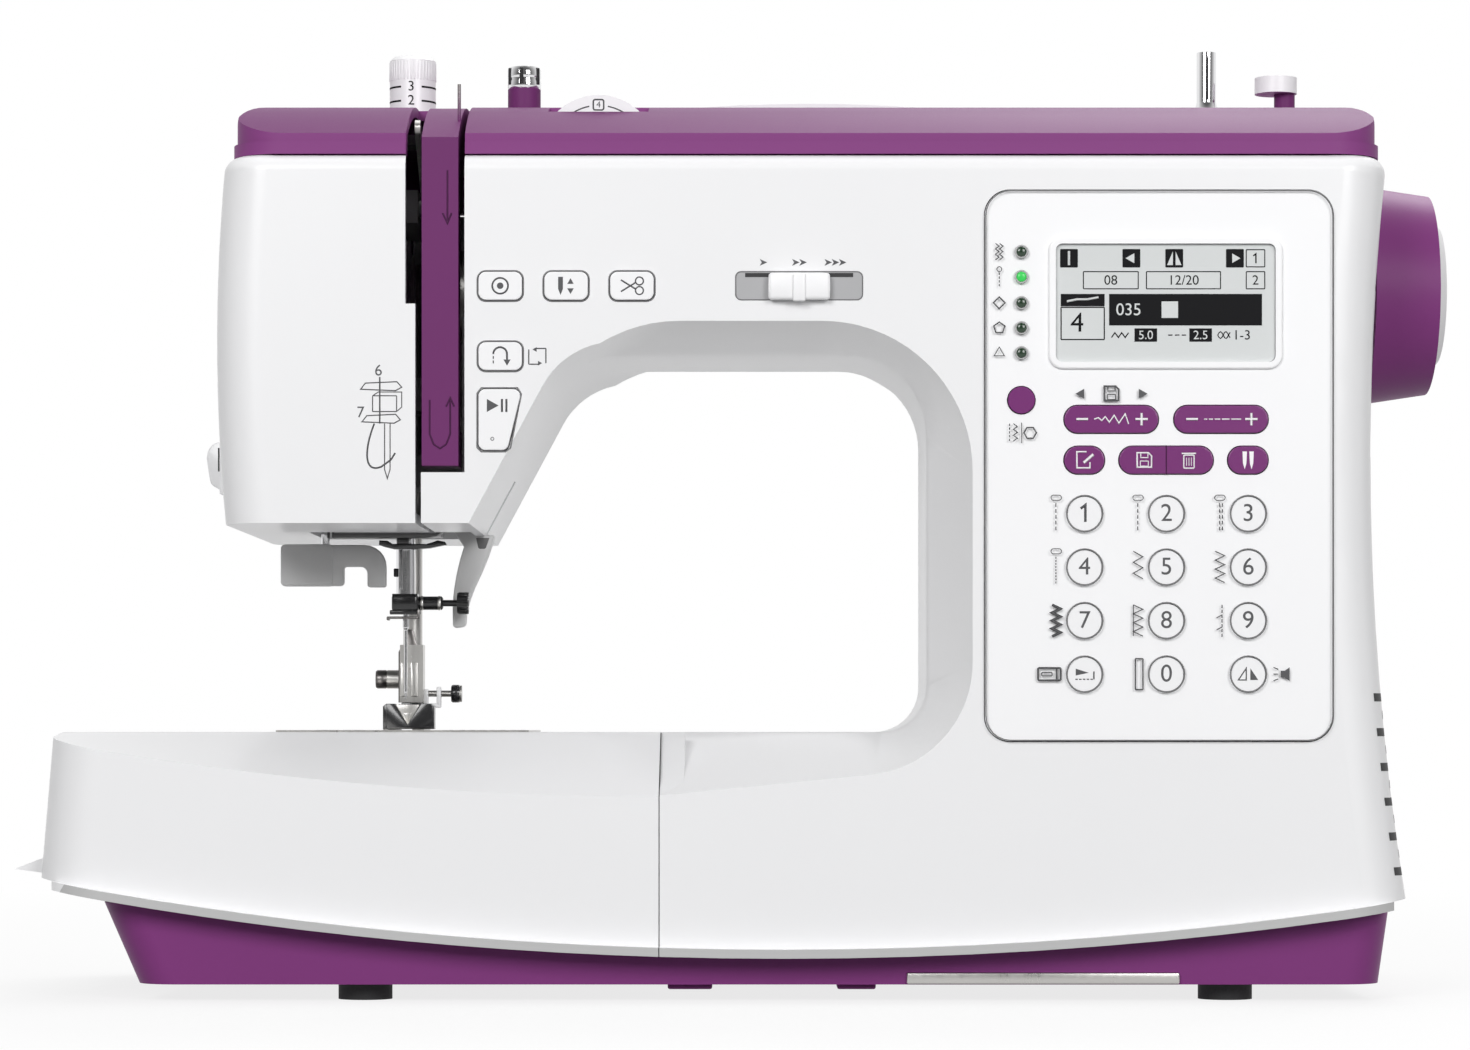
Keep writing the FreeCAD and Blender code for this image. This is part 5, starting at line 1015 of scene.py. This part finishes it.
def make_thread_cutter():
    """Hooked guard of the thread cutter on the head's left end."""
    guard = [(-165.1, 162.4), (-164.6, 165.4), (-162.4, 167.4), (-156, 167.4), (-156, 151.6),
             (-160.4, 152.4), (-163.9, 154.6)]
    fit("cutter_guard", "white_casing", "machine",
        (slab, guard, -22, -4, ((1.4, (1, 2)), (1, (5, 6))), 0.6))
    # A dark box of painted shade stands in for the cutter's slit.
    fit("cutter_slit", "painted_gap_shade", "machine",
        (boxed, (-161.6, -22.1, 158.4), (-161.1, -21.6, 165.6), 0.1, 1), angle=None)


class SEWING_OT_trims(bpy.types.Operator):
    """Speed slot, base strip, painted vent shade, thread path, plate guides, table slots, seam fillets with
    painted seam shade and cutter guard
    """
    bl_idname = "sewing.trims"
    bl_label = "Trims"

    def execute(self, context):
        make_speed_slot()
        fit("base_strip", "steel", "machine", (boxed, (46.3, -74.9, 5.3), (126.3, -72.6, 8.6), 0.5, 3))
        fit("base_bumps", "base_purple", "machine", (boxed, (-23.8, -70, 3.4), (-10.7, -60, 5.6), 0.6),
            (boxed, (26, -70, 3.4), (37.4, -60, 5.6), 0.6))
        make_corner_vents()
        make_thread_path()
        make_plate_guides()
        make_table_slots()
        make_seam_fillets()
        make_thread_cutter()
        return {"FINISHED"}


def make_head_fittings():
    """Grey plate and black wing-shaped thread guide under the head."""
    edge = [(-127.8, 138.7), (-127.8, 140.4), (-94, 140.4), (-95.6, 139.4), (-99, 138.7)]
    wing = [(-113.5, 138.0), (-111, 137.9), (-109.5, 136.9), (-99, 136.9), (-97.2, 137.4), (-95.6, 138.0),
            (-93.4, 137.6), (-92.8, 136.6), (-95.2, 136.2), (-98, 135.6), (-103, 135.2), (-109, 135.3),
            (-112, 136.0), (-113.6, 136.6)]
    fit("head_plate_edge", "plate_grey", "machine", (slab, edge, -12, -4, (), 0.3))
    fit("thread_wing", "black_metal", "machine", (slab, wing, -9, -4.4, (), 0.25),
        (boxed, (-108.2, -8, 136.4), (-104.4, -5, 139.4), 0.3))


def make_lifter():
    """Leaning lever of the presser lifter, with a dark pad."""
    lever = [(-78.6, 140.1), (-81.5, 131.5), (-86.2, 121.5), (-87.5, 116.5), (-87.8, 111.8),
             (-91.8, 111.3), (-92, 120), (-90.4, 130), (-88.4, 136.6), (-92.4, 143), (-94, 146),
             (-92.6, 150.6), (-87.6, 150.6), (-86, 143.6), (-84, 140.8)]
    rounds = ((1.2, (4, 5)), (4, (1, 2, 6, 7)), (0.8, (0, 11, 12)))
    piece = fit("lifter_lever", "grey_plastic", "lifter", (slab, lever, 6, 11, rounds, 0.6))
    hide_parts("presser_lifter")
    pad = [(-84.6, 139.4), (-80.4, 139.4), (-81.6, 136), (-83.8, 136)]
    fit("lifter_pad", "plate_grey", "lifter", (slab, pad, 5.85, 6.4, ((0.5, (2, 3)),), 0.1))


def make_threader():
    """Arm of the needle threader with its thumb piece, on a chrome rod."""
    arm = [(-143.4, 123.9), (-143.4, 136.5), (-111.3, 136.5), (-111.3, 123.5), (-117, 123.5),
           (-117, 129.8), (-124.2, 129.8), (-124.2, 123.9)]
    rounds = ((1.3, (0, 1, 7)), (6.6, (2,)), (0.8, (3, 4, 6)), (2.2, (5,)))
    thumb = [(-143.6, 123.8), (-143.6, 136.7), (-127.4, 136.7), (-127.4, 123.8)]
    piece = fit("threader_arm", "grey_plastic", "threader", (slab, arm, -11.4, -6.6, rounds, 0.7),
                (slab, thumb, -11.9, -6.4, ((1.4, (0, 1, 2, 3)),), 0.7))
    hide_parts("needle_threader")
    fit("threader_rod", "chrome", "threader",
        (turned, [(0, 0), (1.35, 0), (1.35, 69), (0, 69)], (-130, -9, 136)))


def make_needle_fittings():
    """Clamp with its knurled screw, the wire loop below it, and dark boxes of painted shade for the slot in the
    needle bar.
    """
    x, z = NEEDLE_X, CLAMP_Z
    fit("clamp_body", "black_metal", "needle_slide",
        (boxed, (x - 4.1, -4.2, z - 2.6), (x + 4.1, 3.9, z + 2.6), 0.9, 3),
        (boxed, (x - 4.7, -4.0, z - 3.6), (x + 4.9, -2.6, z - 2.2), 0.3),
        (turned, [(0, 0), (2.1, 0), (2.1, 7.2), (1.5, 7.6), (0, 7.6)], (x + 4, 0, z), "X"))
    band = [(2.12, 0), (2.22, 0.2), (2.22, 0.7), (2.12, 0.9)]
    fit("clamp_bands", "steel", "needle_slide",
        *((turned, band, (x + along, 0, z), "X") for along in (4.6, 10)))
    screw_end = span("needle_bar")[1].x
    fit("clamp_knurl", "black_metal", "needle_slide",
        (ribs, 18, 3.1, screw_end - 3.3, screw_end - 0.1, 0.55, (0, 0, z), "X"))
    fit("wire_loop", "dark_steel", "needle_slide",
        (boxed, (x - 5.6, -4.9, z - 5.0), (x + 4.6, -4.1, z - 4.2), 0.3),
        (boxed, (x - 5.6, -4.9, z - 5.4), (x - 4.8, 0, z - 4.6), 0.3),
        (boxed, (x + 3.8, -4.9, z - 5.0), (x + 4.6, -4.1, z - 2), 0.3))
    # Dark boxes of painted shade for the slot in the needle bar.
    fit("bar_slot", "painted_gap_shade", "needle_slide",
        (boxed, (x - 0.9, -2.7, 125.2), (x + 0.9, -2.2, 134), 0.2, 1),
        (boxed, (x - 3.6, -2.2, 127), (x - 2.4, -0.6, 129.6), 0.3))


def make_foot_holder():
    """Holder of the presser foot with its two plates, screw, knob and clip."""
    body = [(-109, 88.2), (-109, 104.6), (-107, 105.4), (-106.6, 111), (-104.4, 111), (-103.6, 107.4),
            (-102.4, 104.8), (-102.2, 88.2)]
    fit("holder_body", "dark_steel", "presser", (slab, body, 9.2, 11.6, ((0.8, (1, 3, 4, 5, 6)),), 0.4))
    fit("holder_plates", "steel", "presser",
        *((slab, [(left, 90), (left, 100.6), (right, 100.6), (right, 90)], 8.9, 9.5,
           ((0.4, (0, 1, 2, 3)),), 0.1) for left, right in ((-108.3, -106), (-105.2, -102.9))))
    screw = [(0, 0), (2.6, 0), (2.9, 0.5), (2.9, 3.1), (2.6, 3.6), (0, 3.6)]
    fit("holder_screw", "dark_steel", "presser", (turned, screw, (-116.4, 15, 95.5), "X"))
    knob = [(0, 0), (2.5, 0), (2.8, 0.4), (2.8, 2.4), (2.5, 2.8), (0, 2.8)]
    fit("holder_knob", "black_metal", "presser", (turned, knob, (-92.8, 15, 91), "X"))
    fit("holder_clip", "key_white", "presser", (boxed, (-97.4, 13.4, 87.4), (-96, 16.6, 93.2), 0.4),
        (boxed, (-101.6, 13.4, 86.6), (-100, 16.6, 92.4), 0.4),
        (boxed, (-101.6, 13.6, 86.6), (-96, 16.4, 88), 0.4))


def make_foot():
    """Black shoe, open round the needle, with its silver toe."""
    x, z, half, top = FOOT_X, span("presser_foot")[0].z, 8.1, 7.8
    front = [(x - 6.6, z), (x - 6.6, z + top), (x - 4.1, z + top), (x, z + 1.4), (x + 4.1, z + top),
             (x + half - 1, z + top), (x + half, z + 7), (x + half, z)]
    sliver = [(x - half, z), (x - half, z + 7), (x - half + 1, z + top), (x - 6, z + top), (x - 6, z)]
    shoe = fit("foot_shoe", "black_metal", "presser", (slab, front, -12.3, -5.05, (), 0.2),
               (slab, sliver, -6.3, -5.05, (), 0.2),
               (boxed, (-111, -5.4, z), (-107.3, 6.4, z + 2.2), 0.4),
               (boxed, (-104.7, -5.4, z), (-98, 6.4, z + 2.2), 0.4),
               (boxed, (-110, 6, z), (-99, 23.8, z + 2.4), 0.5),
               (boxed, (x - 3.6, 9, z + 2), (x + 3, 18.3, 88.2), 0.4))
    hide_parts("presser_foot")
    fit("foot_toe", "steel", "presser",
        (slab, [(x - 3.8, z + 7.6), (x + 3.8, z + 7.6), (x, z + 1)], -12.0, -11, (), 0.2),
        (slab, [(x - 1.5, z + 5), (x + 1.5, z + 5), (x, z + 2.2)], -12.4, -11.6, (), 0.15))


def make_winder():
    """Flared foot of the bobbin winder with a dark box of painted shade for its slot, and the slotted cap of
    the thread post with black boxes of painted shade in its slots.
    """
    x, y = WINDER
    top = span("winder_spindle")[1].z
    # A dark box of painted shade for the slot in the spindle.
    fit("spindle_slot", "painted_gap_shade", "winder",
        (boxed, (x - 0.45, y - 3.15, 274.4), (x + 0.45, y - 2.6, top - 1.5), 0.2, 1), angle=None)
    flare = [(3.05, 0), (4.6, 0), (4.4, 0.8), (3.5, 1.8), (3.05, 4)]
    fit("spindle_flare", "chrome", "winder", (turned, flare, (x, y, 269.8)))
    cap = [(0, 0), (4.9, 0), (5.1, 0.6), (5.1, 2.2), (4.85, 2.9), (5.1, 3.6), (5.1, 5.8), (4.6, 6.7),
           (0, 6.7)]
    fit("thread_post_cap", "chrome", "machine", (turned, cap, POST))
    # Black boxes of painted shade fill the slots of the cap.
    gap_shades = []
    for across, wide in ((-4.1, 1.3), (-0.6, 1.3), (4, 1.6)):
        depth = POST[1] - math.sqrt(POST_RADIUS ** 2 - across ** 2)
        left, right = POST[0] + across - wide / 2, POST[0] + across + wide / 2
        gap_shades.append((boxed, (left, depth - 0.1, 276.2), (right, depth + 1.4, 281.3), 0.2, 1))
    fit("thread_post_gap_shades", "black_metal", "machine", *gap_shades)


class SEWING_OT_needle_area(bpy.types.Operator):
    """Thread guide, lifter, threader, needle clamp, wire loop, foot fittings and winder details"""
    bl_idname = "sewing.needle_area"
    bl_label = "Needle Area"

    def execute(self, context):
        make_head_fittings()
        make_lifter()
        make_threader()
        make_needle_fittings()
        make_foot_holder()
        make_foot()
        make_winder()
        return {"FINISHED"}


def seen_rays(tree):
    """A node that gives 1 for rays from the camera and for those that metal and glass send on."""
    path = add_node(tree, "LightPath")
    either, seen = (add_node(tree, "Math", operation="MAXIMUM") for _ in range(2))
    wire(tree, (path, "Is Camera Ray", either, 0), (path, "Is Glossy Ray", either, 1),
         (either, 0, seen, 0), (path, "Is Transmission Ray", seen, 1))
    return seen


def make_floor():
    """A wide floor that looks pale, more so far out, and throws little light back at the machine."""
    mesh = bpy.data.meshes.new("Floor")
    bm = bmesh.new()
    bmesh.ops.create_grid(bm, x_segments=1, y_segments=1, size=6)
    bm.to_mesh(mesh)
    bm.free()
    floor = bpy.data.objects.new("Floor", mesh)
    bpy.context.scene.collection.objects.link(floor)
    look = bpy.data.materials.new("pale_floor")
    look.use_nodes = True
    mesh.materials.append(look)
    tree = look.node_tree
    shader = tree.nodes["Principled BSDF"]
    shader.inputs["Roughness"].default_value = 0.9
    seen = seen_rays(tree)
    tone = add_node(tree, "Mix", {"A": (0.2, 0.2, 0.2, 1), "B": (0.9, 0.9, 0.9, 1)}, data_type="RGBA")
    place = add_node(tree, "TexCoord")
    reach = add_node(tree, "VectorMath", operation="LENGTH")
    fade = add_node(tree, "MapRange", {"From Min": 0.2, "From Max": 0.9, "To Min": 0.8, "To Max": 1.0})
    share = add_node(tree, "Math", operation="MULTIPLY")
    pale = add_node(tree, "Emission")
    mix = add_node(tree, "MixShader")
    wire(tree, (seen, 0, tone, "Factor"), (tone, "Result", shader, "Base Color"),
         (place, "Object", reach, 0), (reach, "Value", fade, "Value"), (fade, "Result", share, 1),
         (seen, 0, share, 0), (share, 0, mix, 0), (shader, 0, mix, 1), (pale, 0, mix, 2),
         (mix, 0, tree.nodes["Material Output"], "Surface"))


def make_world(scene, ambient):
    """An even white backdrop; mirrored, it is darker towards the front, and its light is weak."""
    scene.world = bpy.data.worlds.new("Studio")
    scene.world.use_nodes = True
    tree = scene.world.node_tree
    sky = tree.nodes["Background"]
    sky.inputs["Color"].default_value = (1, 1, 1, 1)
    strength = add_node(tree, "Mix", {"A": ambient})
    place = add_node(tree, "TexCoord")
    split = add_node(tree, "SeparateXYZ")
    room = add_node(tree, "MapRange", {"From Min": -0.7, "From Max": 0.3, "To Min": 0.12, "To Max": 1.0})
    even = add_node(tree, "Mix", {"B": 1.0})
    path = add_node(tree, "LightPath")
    wire(tree, (place, "Generated", split, 0), (split, "Y", room, "Value"), (room, "Result", even, "A"),
         (path, "Is Camera Ray", even, "Factor"), (even, "Result", strength, "B"),
         (seen_rays(tree), 0, strength, "Factor"), (strength, "Result", sky, "Strength"))


def make_light(name, place, power, size):
    """A square soft light that looks at the machine's middle."""
    light = bpy.data.lights.new(name, "AREA")
    light.energy = power
    light.size = size
    lamp = bpy.data.objects.new(name, light)
    lamp.location = place
    aim = Vector((0, 0, 0.15)) - lamp.location
    lamp.rotation_euler = aim.to_track_quat("-Z", "Y").to_euler()
    bpy.context.scene.collection.objects.link(lamp)


class SEWING_OT_stage(bpy.types.Operator):
    """Pale floor, soft light and the camera"""
    bl_idname = "sewing.stage"
    bl_label = "Stage"

    def execute(self, context):
        studio = context.scene.studio_looks
        make_floor()
        make_world(context.scene, studio.ambient)
        make_light("Key light", (-0.75, -1.75, 0.95), studio.key_power, 0.8)
        make_light("Fill light", (0.9, -1.75, 0.8), studio.key_power * 0.85, 0.8)
        make_light("Top light", (0.0, 0.15, 1.6), studio.top_power, 1.4)
        make_light("Back light", (0.5, 1.2, 1.7), studio.key_power * 0.75, 1.0)
        lens = bpy.data.cameras.new("Camera")
        lens.lens = studio.lens
        lens.shift_y = studio.rise
        camera = bpy.data.objects.new("Camera", lens)
        camera.location = studio.eye
        camera.rotation_euler = (math.radians(90), 0, 0)
        context.scene.collection.objects.link(camera)
        context.scene.camera = camera
        context.scene.view_settings.view_transform = "Standard"
        return {"FINISHED"}


class SEWING_PT_looks(bpy.types.Panel):
    """Lists the steps that dress the machine"""
    bl_label = "Sewing Machine"
    bl_space_type = "VIEW_3D"
    bl_region_type = "UI"
    bl_category = "Sewing Machine"

    def draw(self, context):
        for step in STEPS:
            self.layout.operator(step.bl_idname)
        for group in (context.scene.machine_looks, context.scene.studio_looks):
            for name in group.__annotations__:
                self.layout.prop(group, name)


STEPS = (SEWING_OT_finish_solids, SEWING_OT_panel_marks, SEWING_OT_key_marks, SEWING_OT_display,
         SEWING_OT_casing_marks, SEWING_OT_knobs, SEWING_OT_trims, SEWING_OT_needle_area, SEWING_OT_stage)
CLASSES = (MachineLooks, StudioLooks, *STEPS, SEWING_PT_looks)


def register():
    for item in CLASSES:
        bpy.utils.register_class(item)
    bpy.types.Scene.machine_looks = bpy.props.PointerProperty(type=MachineLooks)
    bpy.types.Scene.studio_looks = bpy.props.PointerProperty(type=StudioLooks)


def unregister():
    del bpy.types.Scene.machine_looks
    del bpy.types.Scene.studio_looks
    for item in reversed(CLASSES):
        bpy.utils.unregister_class(item)


def main():
    register()
    for step in STEPS:
        area, name = step.bl_idname.split(".")
        getattr(getattr(bpy.ops, area), name)()


if __name__ == "__main__":
    main()
